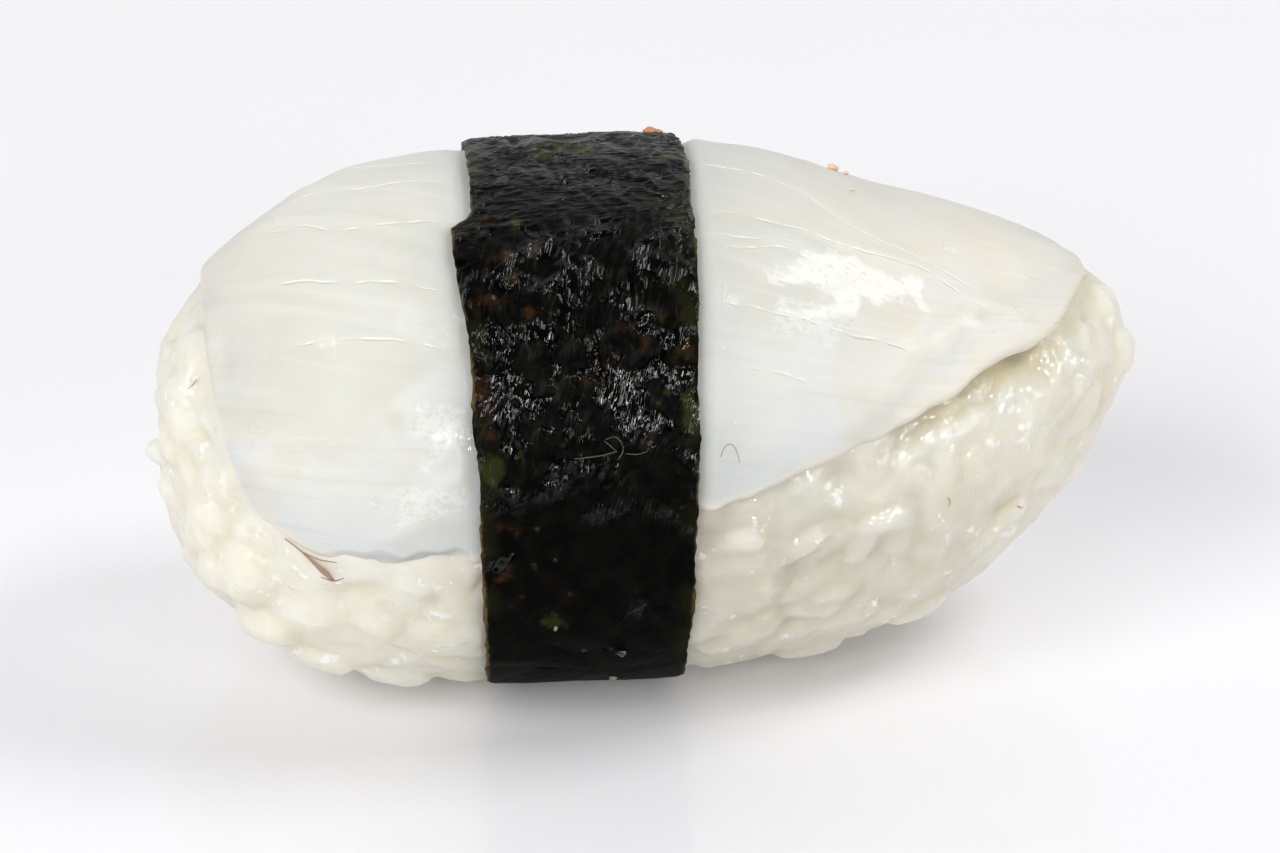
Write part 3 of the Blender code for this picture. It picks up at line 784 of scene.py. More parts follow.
# Soft folds: station, angle, reach along and across in mm, way they lie, height in mm.
TOPPING_FOLDS = (
    (-15.4, 9, 2.6, 0.7, 35, 0.32), (-17.2, 1, 2.2, 0.7, 20, 0.28), (-13.9, 22, 1.6, 0.6, 55, 0.26),
    (16.6, 41, 4.8, 0.8, 38, 0.30), (12.8, 29, 3.6, 0.8, 55, 0.22), (10.4, 24, 3.0, 0.8, 75, 0.16),
    (8.2, 44, 3.0, 0.9, 10, 0.16), (20.6, 50, 2.0, 0.8, -20, 0.25), (14.5, 62, 5.0, 1.0, -12, 0.18),
    (-20.5, 30, 3.0, 1.4, 70, 0.12), (9.0, 62, 3.5, 0.9, -6, 0.14), (8.5, 102, 4.5, 6.0, 0, 0.40),
    (17.0, 100, 4.0, 7.0, 0, -0.35), (-21.0, 104, 5.5, 6.0, 0, 0.40),
)
# Where the flesh is opaque and white: station, angle, reach along, reach round, strength.
TOPPING_MILK = (
    (-13.9, 21, 2.6, 24, 0.85), (-18.2, 11, 3.0, 12, 0.7), (4.6, 25, 5.4, 22, 0.95),
    (10.4, 36, 4.6, 9, 0.55), (18.6, 60, 2.4, 9, 0.5), (-13.0, 55, 1.5, 12, 0.35),
    (-21.0, 6, 5.0, 18, 0.6),
)
# Where a film of water lies on it, in the same terms.
TOPPING_WATER = (
    (11.4, 56, 4.6, 8, 1.0), (6.6, 56, 2.6, 4, 0.7), (8.4, 44, 3.0, 5.5, 0.9),
    (20.6, 44, 2.4, 4, 0.8), (16.2, 40, 3.4, 5, 0.5), (-13.6, 46, 0.9, 5, 0.7),
    (-14.4, 24, 1.8, 7, 0.9), (-15.6, 8, 3.0, 5, 0.9), (-27.2, 62, 0.8, 5, 0.8),
    (4.6, 5, 3.0, 3, 0.5),
)


def on_sheet(station, angle):
    """Flat coordinates of the surface in metres: along it and up round it."""
    return np.stack([station, np.radians(angle) * HALF_WIDTH, 0 * station], -1)


def on_fibres(station, angle):
    """Flat coordinates along the flesh's fibres, which slant more towards the top."""
    sheet = on_sheet(station, angle)
    slant = 0.15 + 0.0075 * np.clip(angle - 30, 0, 90)
    sheet[..., 1] += slant * station
    return sheet


def step_relief(station, angle):
    """Lips along the slab's lines. Then, for every other line in turn, so that lines side by
    side don't mix: metres from the nearest one, and 1 beside it to 0 further off."""
    relief = np.zeros_like(station)
    sheet = on_sheet(station, angle)
    uneven = 0.40 * ripples(sheet, 0.0050, 24) + 0.14 * ripples(sheet, 0.0014, 25)
    marks = [np.stack([0 * station + 0.002, 0 * station, 0 * station], -1) for _ in range(2)]
    for number, (stations, angles, height, width) in enumerate(TOPPING_STEPS):
        stations = np.array(stations) / 1000
        line = through(stations, angles, station) + uneven
        away = np.radians(angle - line) * HALF_WIDTH * mound_girth(station)
        ends = ease(stations[0] - 0.001, stations[0] + 0.002, station)
        ends *= 1 - ease(stations[-1] - 0.002, stations[-1] + 0.002, station)
        lip = np.tanh(away / (width * 0.0008)) * np.exp(-np.abs(away) / (width * 0.0024))
        relief += ends * height * 0.0008 * lip
        reach = np.copysign(np.abs(away) + 0.002 * (1 - ends), away)
        mark = marks[number % 2]
        mark[..., 0] = np.where(np.abs(reach) < np.abs(mark[..., 0]), reach, mark[..., 0])
        mark[..., 1] = np.maximum(mark[..., 1], ends * (1 - ease(0.00022, 0.00040, np.abs(away))))
    return relief, marks


def fold_relief(station, angle):
    relief = np.zeros_like(station)
    for at, turned, along, across, way, height in TOPPING_FOLDS:
        flat = (on_sheet(station, angle) - on_sheet(at / 1000, turned)) * 1000
        bent = flat[..., 1] - 0.04 * flat[..., 0] ** 2
        cos, sin = math.cos(math.radians(way)), math.sin(math.radians(way))
        u = (flat[..., 0] * cos + bent * sin) / along
        v = (-flat[..., 0] * sin + bent * cos) / across
        relief += height * 0.001 * np.exp(-u ** 2) * np.exp(-v ** 2)
    return relief


def rim_drop(station, angle):
    """How far the slab's outer face drops to the thin layer along its lower left edge."""
    above = np.radians(angle - topping_front(station)) * HALF_WIDTH * mound_girth(station)
    line = 0.0015 * ease(-0.0235, -0.0185, station) * (1 - ease(-0.0145, -0.0118, station))
    line = line + 0.00012 * ripples(on_sheet(station, angle), 0.002, 35)
    depth = 0.00034 * ease(0.0002, 0.0010, line)
    return depth * (1 - ease(line - 0.00045, line + 0.00020, above))


def wetness(station, angle):
    """How wet the slab is, from 0 to 1: broken patches of water, and dew at its thick end."""
    skin = mound_skin(station, angle)
    waver = 0.24 * ripples(skin, 0.0030, 36) + 0.14 * ripples(skin, 0.0011, 37)
    dewy = ease(-0.0278, -0.0262, station) * (1 - ease(-0.0125, -0.0105, station))
    dewy *= ease(5, 20, angle) * (1 - ease(62, 74, angle))
    wet = 0.7 * dewy * ease(0.3, 1.3, ripples(skin, 0.0034, 39))
    return np.clip(patches(station, angle, TOPPING_WATER, 0.7, 1.1, 1 + waver, wet), 0, 1)


def milkiness(station, angle):
    """How opaque and white the flesh is, from 0 to 1."""
    skin = mound_skin(station, angle)
    milk = (0.16 + 0.08 * ripples(skin, 0.007, 31)) * ease(-0.0265, -0.0200, station)
    waver = 0.20 * ripples(skin, 0.005, 32) + 0.07 * ripples(skin, 0.0016, 33)
    return np.clip(patches(station, angle, TOPPING_MILK, 0.72, 1.12, 1 + waver, milk), 0, 1)


def line_marks(look, broken, names):
    """Two masks along the slab's lines: painted highlight on the lip, painted shade in the crease.
    """
    masks = []
    for sign, far, low, high in ((1, 0.00014, 0.40, 0.58), (-1, 0.00012, 0.36, 0.60)):
        stripes = []
        for name in names:
            line = look.node("ShaderNodeSeparateXYZ", {"Vector": look.painted(name, "Vector")})
            near = look.range(line["X"], 0, 1, sign * 0.00001, sign * 0.00004)
            fade = look.range(line["X"], 1, 0, sign * far * 0.6, sign * far)
            whole = look.math("MULTIPLY", look.math("MULTIPLY", near, fade), line["Y"])
            stripes.append(look.math("MULTIPLY", whole, look.range(broken, 0, 1, low, high)))
        masks.append(look.math("MAXIMUM", *stripes))
    return masks


def topping_material():
    """Milky flesh with pale and clear strands, scored lines, and water in drops and films."""
    look = Finish("topping")
    sheet = look.painted("sheet", "Vector")
    flesh = look.mix(look.painted("warm"), FLESH_CLEAR, FLESH_WARM)
    flesh = look.mix(look.painted("milk"), flesh, FLESH_MILKY)
    strands = look.noise(look.mapped(sheet, (0.04, 1, 1)), 1300, 3)
    flesh = look.mix(look.range(strands, 0.24, 0, 0.30, 0.46), flesh, STRAND_CLEAR)
    flesh = look.mix(look.range(strands, 0, 0.28, 0.54, 0.70), flesh, STRAND_PALE)
    # Painted shade by the band and on top.
    flesh = look.mix(look.painted("shade"), flesh, FLESH_SHADED)
    # Each line: a broken painted highlight on its lip, over a thin crease of painted shade.
    lip, crease_shade = line_marks(look, look.noise(sheet, 800), ("line one", "line two"))
    flesh = look.mix(crease_shade, look.mix(lip, flesh, LINE_LIP_HIGHLIGHT), LINE_CREASE_SHADE)
    # Drops where it is damp, and a film, finely dappled and streaky, where it is wet.
    streaks = look.height(look.mapped(sheet, (0.22, 1, 1)), *STREAK_RELIEF)
    drops = look.height(sheet, *DROP_RELIEF)
    dapple = look.height(sheet, *DAPPLE_RELIEF)
    film = look.painted("wet")
    rough_film = look.math("ADD", look.range(dapple, 0, 0.000014), look.range(streaks, 0, 0.000010))
    height = look.blend(film, look.range(drops, 0, 0.00034), rough_film)
    edge = look.math("MULTIPLY_ADD", dapple, 2.0, film)
    edge = look.math("MULTIPLY_ADD", streaks, 0.9, edge)
    beads = look.math("MULTIPLY", look.damp(sheet, DAMP_SCALE), look.range(film, 0, 0.5, 0.05, 0.4))
    # Painted highlight where the film is whole, and painted shade in its gaps, dappling it.
    gap_shade = look.math("MULTIPLY", look.range(film, 0, 1, 0.80, 0.98),
                     look.range(edge, 0.4, 0, 2.16, 2.36))
    flesh = look.mix(gap_shade, flesh, FILM_GAP_SHADE)
    look.give(
        Base_Color=look.mix(look.range(edge, 0, 0.30, 2.20, 2.40), flesh, FILM_HIGHLIGHT),
        Roughness=0.42,
        Specular_IOR_Level=0.10,
        Normal=look.bump(streaks, 0.00001),
        Coat_Weight=look.math("MAXIMUM", beads, look.range(edge, 0, 0.34, 2.20, 2.36)),
        Coat_Normal=look.bump(height, 1.0),
        Coat_Roughness=0.05,
        Subsurface_Weight=look.range(look.painted("seam"), 0.9, 0.15),
        Subsurface_Radius=(1.0, 0.88, 0.68),
        Subsurface_Scale=0.0040)
    return look.material


def topping_layer(columns, rows, inner):
    """A grid over the slab's outer or inner face: its points, stations and angles."""
    even = np.linspace(0, 1, columns)
    spread = 0.5 * (1 - np.cos(math.pi * even)) / 2 + 0.5 * even
    station = FRONT_STATIONS[0] + (FRONT_STATIONS[-1] - FRONT_STATIONS[0]) * spread
    even = np.linspace(0, 1, rows)
    even *= 0.78 + 0.22 * even
    share = 0.35 * (1 - np.cos(math.pi * even)) / 2 + 0.65 * even
    station = np.repeat(station[:, None], rows, 1)
    angle = topping_front(station) + (topping_back(station) - topping_front(station)) * share
    margin = np.clip(topping_margin(station, angle), 0, None)
    lift = FLAP_LIFT * flap_near(station) * (1 - ease(0, 0.004, margin)) * (angle < 90)
    if inner:
        lift = lift - topping_thickness(margin)
    else:
        covered = ease(-0.0012, -0.0001, band_inside(station, angle))
        rounding = 1 - np.sqrt(1 - (1 - np.clip(margin / TOPPING_ROUND, 0, 1)) ** 2)
        skin = mound_skin(station, angle)
        uneven = 0.00010 * ripples(skin, 0.009, 21) + 0.00003 * ripples(skin, 0.0030, 22)
        uneven += 0.000005 * ripples(on_fibres(station, angle), 0.0018, 23, stretch=(7, 1, 1))
        uneven += step_relief(station, angle)[0] + fold_relief(station, angle)
        uneven -= rim_drop(station, angle)
        lift += uneven * (1 - covered) - TOPPING_SUNK * covered - TOPPING_ROUND * rounding
    return mound_point(station, angle, lift).reshape(-1, 3), station, angle


def paint_topping(topping):
    """Paints flesh, water and painted shade on the slab, for the material to read."""
    points = points_of(topping)
    at, turned, _ = place_on_mound(points)
    # Its cut edge is thin and warm with the rice under it.
    rim = 1 - ease(0.0002, 0.0014, topping_margin(at, turned))
    paint(topping, "seam", rim)
    paint(topping, "milk", milkiness(at, turned) * (1 - rim))
    warm = 0.25 * ripples(points, 0.009, 34) + ease(0.006, 0.017, at) * ease(24, 48, turned)
    warm += 0.7 * ease(0.006, 0.011, at) * (1 - ease(30, 48, turned))
    warm += 0.9 * (1 - ease(-0.0275, -0.0215, at))
    warm += 0.7 * ease(0.0001, 0.0003, rim_drop(at, turned))
    paint(topping, "warm", np.clip(warm + rim, 0, 1))
    paint(topping, "wet", wetness(at, turned))
    # Painted shade: greyer by the dark band, which takes its light, and on top, more to the right.
    shade = 0.62 * band_shade(at, turned, 0.0036, 0.0024)
    shade += 0.30 * ease(60, 100, turned) * (0.4 + 0.6 * ease(-0.02, 0.0, at))
    paint(topping, "shade", np.clip(shade * (1 - rim), 0, 1))
    for name, mark in zip(("line one", "line two"), step_relief(at, turned)[1]):
        paint(topping, name, mark)
    paint(topping, "sheet", on_fibres(at, turned))


def make_topping():
    columns, rows, step = TOPPING_COLUMNS + 1, TOPPING_ROWS + 1, TOPPING_COARSE
    outer, station, angle = topping_layer(columns, rows, inner=False)
    low_columns, low_rows = TOPPING_COLUMNS // step + 1, TOPPING_ROWS // step + 1
    inner = topping_layer(columns, rows, inner=True)[0].reshape(columns, rows, 3)
    inner = inner[::step, :low_rows * step:step].reshape(-1, 3)
    count = len(outer)
    faces = grid_faces(columns, rows).tolist()
    faces += grid_faces(low_columns, low_rows, count)[:, ::-1].tolist()
    # The rim joins each long inner edge to the short outer ones beside it.
    for k in range(low_columns - 1):
        for row, low_row in ((0, 0), (rows - 1, low_rows - 1)):
            fine = [(k * step + j) * rows + row for j in range(step + 1)]
            corner = count + k * low_rows + low_row
            faces.append([corner + low_rows, corner] + fine)
    last_row = (low_rows - 1) * step
    for k in range(low_rows - 1):
        for column, low_column in ((0, 0), (columns - 1, low_columns - 1)):
            stop = rows - 1 if k == low_rows - 2 else (k + 1) * step
            fine = [column * rows + j for j in range(k * step, stop + 1)]
            corner = count + low_column * low_rows + k
            faces.append([corner + 1, corner] + fine)
    topping = mesh_piece("topping_slab", np.vstack([outer, inner]), faces)
    topping.data.materials.append(topping_material())
    paint_topping(topping)
    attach(topping, "root")
    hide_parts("topping")
    return topping


topping_slab = make_topping()

# ---------------------------------------------------------------------------------------------
# The seaweed band. A strip of toasted, pressed seaweed, black-green and ragged where it was
# cut, wrapped round topping and rice; damp and wrinkled on top and in front, dry lower down.

BAND_AROUND = 640
BAND_ACROSS = 84
BAND_COARSE = 4
BAND_SHEET = 0.00026
BAND_OFF_FOOD = 0.00004
BAND_THINNEST = 0.00012
BAND_SLANT = 1.25
SEAWEED_BLACK = (0.0010, 0.0011, 0.0009)
SEAWEED_GREY = (0.0042, 0.0038, 0.0027)
SEAWEED_BROWN = (0.058, 0.021, 0.004)
SEAWEED_GREEN = (0.026, 0.030, 0.006)
SEAWEED_WORN_SHEEN = (0.018, 0.019, 0.016)
SEAWEED_CUT_EDGE = (0.26, 0.19, 0.08)
RIDGE_RELIEF = (3300, 1200, 0.15)
SEAWEED_DAMP_SCALE = 400
# Patches on the band: station, angle, reach along in mm and round in degrees, strength.
BAND_GREEN = (
    (-5.9, 98, 0.7, 3.5, 1), (-4.4, 98.5, 0.8, 3.0, 1), (-3.2, 97.5, 0.7, 2.6, 1),
    (-3.7, 106, 1.2, 3.0, 0.6), (2.4, 91.5, 0.9, 1.2, 1.2), (1.8, 70, 1.6, 12, 0.25),
    (-10.4, 92, 0.5, 10, 0.5), (-10.6, 102, 1.2, 6, 0.5), (0.3, 25, 0.5, 3, 1.0),
    (-11.8, 14, 0.8, 4, 0.8), (-8.0, -24, 0.4, 2, 0.7), (0.6, 50, 0.8, 8, 0.2),
)
BAND_BROWN = (
    (-9.6, 60, 2.6, 6, 0.6), (-10.6, 48, 2.0, 7, 0.7), (-9.1, 46, 0.5, 2, 1.0),
    (-2.4, 40, 2.6, 6, 0.6), (0.0, 38, 1.0, 6, 0.8), (-5.1, 32, 1.6, 4, 0.5),
    (-12.0, -11, 1.0, 4, 1.4), (-11.6, -2, 1.2, 5, 0.7), (-12.0, 35, 0.7, 14, 0.6),
    (-11.4, 24, 1.4, 5, 0.4), (-11.8, 70, 1.4, 3, 0.5), (-4.0, 22, 2.0, 4, 0.4),
)
BAND_DAMP = (
    (-2.0, -21, 2.0, 5, 0.35), (-9.0, 14, 1.6, 4, 0.6), (-5.0, 12, 3.0, 4, 0.5),
    (-10.0, 4, 1.0, 2, 0.6), (-11.5, -8, 1.0, 2, 0.8), (-3.8, -34, 0.5, 2, 1),
)
# Short dark creases: station, angle, half length in mm.
BAND_CREASES = (
    (-6.1, 10, 1.0), (0.2, 9, 1.2), (-11.3, -9, 0.9), (-3.2, -12, 0.9), (-8.2, -41, 0.8),
    (-7.2, 84, 1.4), (1.6, 87, 1.6),
)


def band_patches(station, angle, kinds):
    skin = on_sheet(station, angle)
    waver = 1 + 0.25 * ripples(skin, 0.0014, 61) + 0.15 * ripples(skin, 0.0005, 62)
    return patches(station, angle, kinds, 0.5, 1.25, waver)


def band_damp(station, angle):
    """How wet the band is: its front, down to below the topping, and a few places."""
    sheet = on_sheet(station, angle)
    waver = 5 * ripples(sheet, 0.004, 63)
    front = ease(3, 22, angle + waver) * (1 - ease(42, 92, angle + waver))
    return np.maximum(front, band_patches(station, angle, BAND_DAMP))


def band_relief(station, angle, damp):
    """Wrinkles: along the band's width on top, slanted and crumpled where it is wet."""
    sheet = on_sheet(station, angle)
    bend = np.stack([ripples(sheet, 0.004, 70), ripples(sheet, 0.004, 71), 0 * station], -1)
    sheet = sheet + 0.0006 * bend
    top = ease(50, 85, angle) * (1 - 0.6 * ease(150, 190, angle))
    level = 0.6 - np.abs(ripples(sheet, 0.0011, 72, stretch=(2.0, 1, 1)))
    level += 0.7 * (0.6 - np.abs(ripples(sheet, 0.0006, 73, stretch=(2.0, 1, 1))))
    cos, sin = math.cos(BAND_SLANT), math.sin(BAND_SLANT)
    slant = np.stack([(sheet[..., 0] * cos + sheet[..., 1] * sin) / 2.4,
                      -sheet[..., 0] * sin + sheet[..., 1] * cos, 0 * station], -1)
    crumple = 0.5 - np.abs(ripples(slant, 0.0016, 74)) + 0.5 * ripples(slant, 0.0008, 75)
    crumple += 0.7 * (0.5 - np.abs(ripples(sheet, 0.0010, 77)))
    broad = ripples(sheet, 0.0035, 76)
    relief = 0.00009 * level * (0.12 + 0.88 * top) + 0.00011 * crumple * damp + 0.00003 * broad
    for at, turned, half in BAND_CREASES:
        along = np.abs(station * 1000 - at) / half
        across = np.radians(angle - turned) * HALF_WIDTH * 1000 - 0.06 * np.sin(along * 3)
        relief -= 0.00010 * np.exp(-(across / 0.12) ** 2) * (1 - ease(0.6, 1.1, along))
    return relief * ease(-86, -70, angle)


def band_material():
    """Seaweed: nearly black, brown and green in places, ridged, and wet in front."""
    look = Finish("nori")
    sheet = look.painted("sheet", "Vector")
    damp = look.painted("damp")
    top = look.painted("top")
    cloud = look.noise(sheet, 700, 5)
    colour = look.mix(look.range(cloud, 0, 1, 0.4, 0.7), SEAWEED_BLACK, SEAWEED_GREY)
    blotch = look.math("MULTIPLY", look.painted("brown"), look.range(cloud, 0, 0.9, 0.52, 0.74))
    colour = look.mix(blotch, colour, SEAWEED_BROWN)
    colour = look.mix(look.painted("green"), colour, SEAWEED_GREEN)
    # Fine ridges: level on top, slanted lower down, deep and glossy where the band is wet.
    ridges = []
    for way in (BAND_SLANT, 0):
        along = look.mapped(sheet, (5.0, 1, 1), way, "TEXTURE")
        height = look.shared_height(along, *RIDGE_RELIEF)
        ridge = look.math("MULTIPLY", look.math("PINGPONG", height, 0.5), 2.0)
        ridges.append(look.math("POWER", ridge, 4.0))
    ridged = look.blend(top, *ridges)
    places = look.damp(sheet, SEAWEED_DAMP_SCALE)
    wet = look.math("MULTIPLY", damp, look.range(places, 0.0, 1.0, 0.25, 1.0))
    depth = look.math("MAXIMUM", look.range(wet, 0.2, 1.0, 0, 0.5), look.range(top, 0, 0.8))
    # The ridges' crests are paler here and there: partly wear, partly painted sheen.
    worn_and_sheen = look.math("MULTIPLY", look.range(ridged, 0, 0.8, 0.72, 1.0),
                     look.range(cloud, 0, 1, 0.42, 0.62))
    worn_and_sheen = look.math("MULTIPLY", worn_and_sheen, look.math("MAXIMUM", top, damp))
    colour = look.mix(worn_and_sheen, colour, SEAWEED_WORN_SHEEN)
    look.give(
        Base_Color=look.mix(look.painted("rim"), colour, SEAWEED_CUT_EDGE),
        Roughness=look.blend(look.range(wet, 0, 1, 0.03, 0.15), look.range(top, 0.50, 0.28), 0.10),
        Specular_IOR_Level=look.math("MAXIMUM", look.range(wet, 0.02, 0.26, 0.10, 0.8),
                                     look.range(top, 0, 0.18)),
        Normal=look.bump(look.math("MULTIPLY", ridged, depth), 0.00016))
    return look.material


def band_layer(around, across, inner):
    angle = np.linspace(-90, 270, around, endpoint=False)
    edges = []
    for side in (-1, 1):
        skin = mound_skin(band_edge(angle, side), angle)
        ragged = 0.00003 * ripples(skin, 0.0006, 40 + side)
        ragged += 0.00006 * ripples(skin, 0.0060, 44 + side)
        torn = np.maximum(ripples(skin, 0.0016, 48 + side) - 1.5, 0)
        edges.append(band_edge(angle, side) + ragged - side * 0.00016 * torn)
    share = np.linspace(0, 1, across + 1)
    station = edges[0] + (edges[1] - edges[0]) * share[:, None]
    angle = np.broadcast_to(angle, station.shape)
    if inner:
        lift = np.full_like(station, BAND_OFF_FOOD)
    else:
        relief = band_relief(station, angle, band_damp(station, angle))
        worn_edge = 0.00010 * (1 - ease(0, 0.0003, band_inside(station, angle)))
        lift = np.maximum(BAND_OFF_FOOD + BAND_SHEET + relief - worn_edge, BAND_THINNEST)
    points = mound_point(station, angle, lift)
    points[..., 2] = np.maximum(points[..., 2], BAND_SHEET if inner else 0)
    return points, station, angle


def paint_band(band):
    """Paints wet and coloured places on the band, for the material to read."""
    points = points_of(band)
    at, turned, _ = place_on_mound(points)
    inside = band_inside(at, turned)
    paint(band, "sheet", on_sheet(at, turned))
    paint(band, "damp", band_damp(at, turned))
    paint(band, "top", ease(52, 82, turned))
    edge_green = 0.28 * (1 - ease(0.0002, 0.0014, inside))
    edge_green *= ease(-0.3, 1.2, ripples(points, 0.004, 65))
    green = band_patches(at, turned, BAND_GREEN) + edge_green
    paint(band, "green", np.clip(green, 0, 1.2))
    paint(band, "brown", np.clip(band_patches(at, turned, BAND_BROWN), 0, 1.6))
    rim = 0.5 * (1 - ease(0.00002, 0.00010, inside)) * ease(-0.8, 0.8, ripples(points, 0.003, 66))
    paint(band, "rim", rim)


def make_band():
    outer, _, _ = band_layer(BAND_AROUND, BAND_ACROSS, inner=False)
    inner, _, _ = band_layer(BAND_AROUND, BAND_ACROSS, inner=True)
    step = BAND_COARSE
    inner = inner[::step, ::step]
    low_across, low_around = inner.shape[:2]
    count = outer.shape[0] * outer.shape[1]
    faces = grid_faces(BAND_ACROSS + 1, BAND_AROUND, closed=True).tolist()
    faces += grid_faces(low_across, low_around, count, closed=True)[:, ::-1].tolist()
    for edge, low_edge in ((0, 0), (BAND_ACROSS * BAND_AROUND, (low_across - 1) * low_around)):
        for k in range(low_around):
            fine = [edge + (k * step + j) % BAND_AROUND for j in range(step + 1)]
            faces.append([count + low_edge + (k + 1) % low_around, count + low_edge + k] + fine)
    band = mesh_piece("nori_band", np.vstack([outer.reshape(-1, 3), inner.reshape(-1, 3)]), faces)
    band.data.materials.append(band_material())
    paint_band(band)
    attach(band, "root")
    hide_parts("nori")
    return band


nori_band = make_band()

# ---------------------------------------------------------------------------------------------
# The scraps. What clings to the food: a torn bit of the flesh's brown skin, orange, peach and
# pale crumbs, a green fibre, a dry wisp and a bubble on the band, and brown specks in the rice.
# Strands are swept along short paths, and crumbs are small lumps; all rest on what they touch.

# Paths of strands: station, angle, height over the food, width and thickness in mm.
SKIN_FLECK = (
    ((-23.9, -2.6, 0.10, 0.10, 0.05), (-23.0, -5.4, 0.16, 0.12, 0.06),
     (-22.3, -8.4, 0.12, 0.26, 0.08), (-21.7, -11.0, 0.08, 0.40, 0.08),
     (-21.2, -13.2, 0.06, 0.20, 0.06)),
    ((-22.9, -5.8, 0.12, 0.08, 0.05), (-22.0, -7.2, 0.16, 0.10, 0.05),
     (-21.0, -7.6, 0.10, 0.06, 0.04)),
    ((-21.9, -12.6, 0.10, 0.08, 0.05), (-21.2, -13.0, 0.16, 0.12, 0.05),
     (-20.6, -12.0, 0.10, 0.06, 0.04)),
)
GREEN_FIBRE = (
    ((2.0, 14.6, 0.02, 0.05, 0.05), (2.15, 16.2, 0.05, 0.05, 0.05), (2.55, 17.4, 0.06, 0.05, 0.05),
     (2.95, 16.2, 0.05, 0.05, 0.05), (3.15, 13.2, 0.02, 0.04, 0.04)),
)
DRY_WISP = (
    ((-6.9, 15.7, 0.02, 0.07, 0.06), (-6.0, 15.9, 0.06, 0.11, 0.08), (-5.2, 16.2, 0.06, 0.10, 0.08),
     (-4.4, 16.8, 0.04, 0.09, 0.07)),
    ((-5.0, 19.4, 0.03, 0.07, 0.06), (-4.4, 19.9, 0.08, 0.08, 0.07),
     (-4.05, 18.6, 0.08, 0.08, 0.07), (-3.95, 16.8, 0.06, 0.08, 0.07),
     (-4.3, 15.0, 0.03, 0.06, 0.05)),
    ((-5.1, 19.2, 0.03, 0.06, 0.05), (-4.7, 18.0, 0.05, 0.07, 0.06),
     (-4.3, 16.6, 0.05, 0.06, 0.05)),
    ((-3.8, 16.3, 0.02, 0.06, 0.05), (-3.1, 16.0, 0.05, 0.08, 0.06),
     (-2.5, 16.6, 0.03, 0.05, 0.05)),
)
RICE_SPECKS = (
    ((16.6, -2.0, 0.0, 0.08, 0.06), (16.8, -3.4, 0.02, 0.12, 0.07), (16.7, -5.0, 0.0, 0.06, 0.05)),
    ((21.6, -17.0, 0.0, 0.08, 0.06), (21.8, -18.4, 0.02, 0.13, 0.08),
     (22.1, -19.6, 0.0, 0.07, 0.05)),
    ((-29.9, 59.5, 0.0, 0.08, 0.05), (-29.8, 61.0, 0.02, 0.10, 0.06),
     (-29.8, 62.5, 0.0, 0.06, 0.05)),
    ((-28.6, 50.5, -0.02, 0.05, 0.05), (-28.4, 52.0, 0.0, 0.08, 0.06),
     (-28.2, 53.5, -0.02, 0.05, 0.05)),
)
# Crumbs: station, angle, length, width and height in mm, way they lie.
ORANGE_CRUMBS = ((1.8, 113, 0.95, 0.5, 0.45, 5), (2.3, 112, 0.45, 0.4, 0.30, 60))
PEACH_CRUMBS = (
    (13.2, 111, 0.85, 0.5, 0.40, 20), (13.9, 109, 0.4, 0.35, 0.22, 70),
    (13.4, 92, 0.40, 0.2, 0.12, 10),
)
PALE_CRUMBS = ((-3.8, -49, 0.55, 0.4, 0.3, 30), (-8.0, -25.5, 0.4, 0.25, 0.15, 80))
BUBBLES = ((-3.8, -33.7, 0.62, 0.55, 0.4, 0),)
# What each is made of: name, places, steps or first seed, colour, roughness and slot.
STRANDS = (
    ("skin_fleck", SKIN_FLECK, 20, (0.36, 0.22, 0.13), 0.4, "topping"),
    ("green_fibre", GREEN_FIBRE, 20, (0.22, 0.24, 0.12), 0.5, "nori"),
    ("dry_wisp", DRY_WISP, 20, (0.040, 0.030, 0.018), 0.4, "nori"),
    ("rice_specks", RICE_SPECKS, 8, (0.52, 0.33, 0.13), 0.5, "rice"),
)
LUMPS = (
    ("orange_crumbs", ORANGE_CRUMBS, 90, (0.55, 0.24, 0.12), 0.35, "nori"),
    ("peach_crumbs", PEACH_CRUMBS, 93, (0.78, 0.56, 0.38), 0.35, "topping"),
    ("pale_crumbs", PALE_CRUMBS, 96, (0.20, 0.22, 0.12), 0.4, "nori"),
    ("bubbles", BUBBLES, 98, (0.010, 0.012, 0.008), 0.04, "nori"),
)


def surface_over(pieces, station, angle):
    """The outermost point of some pieces at a station in mm and an angle, and the way out."""
    out = Vector(mound_normal(station / 1000, angle))
    start = Vector(mound_skin(station / 1000, angle)) + out * 0.004
    reach = 0.004
    for piece in pieces:
        hit, place, _, _ = piece.ray_cast(start, -out)
        if hit:
            reach = min(reach, (start - place).length)
    return start - out * reach, out


def sweep(pieces, path, steps, sides=6):
    """A strand over the pieces: the path gives station, angle, height over them, width and
    thickness in mm. It is smooth between its places and closed at both ends."""
    path = np.array(path, float)
    marks = np.arange(len(path))
    values = np.stack([through(marks, column, np.linspace(0, len(path) - 1, steps))
                       for column in path.T], 1)
    middle, outs = [], []
    for station, angle, above, _, thick in values:
        place, out = surface_over(pieces, station, angle)
        middle.append(place + out * (above + thick * 0.3) / 1000)
        outs.append(out)
    middle, outs = np.array(middle), np.array(outs)
    middle[1:-1] = (middle[:-2] + 2 * middle[1:-1] + middle[2:]) / 4
    along = np.gradient(middle, axis=0)
    beside = np.cross(along, outs)
    beside /= np.linalg.norm(beside, axis=1, keepdims=True)
    turn = np.linspace(0, 2 * math.pi, sides, endpoint=False)
    wide, thick = values[:, 3, None, None] / 2000, values[:, 4, None, None] / 2000
    points = (middle[:, None] + beside[:, None] * wide * np.cos(turn)[:, None]
              + outs[:, None] * thick * np.sin(turn)[:, None]).reshape(-1, 3)
    faces = grid_faces(steps, sides, closed=True).tolist()
    last = (steps - 1) * sides
    return points, faces + [list(range(sides)), list(range(last + sides - 1, last - 1, -1))]


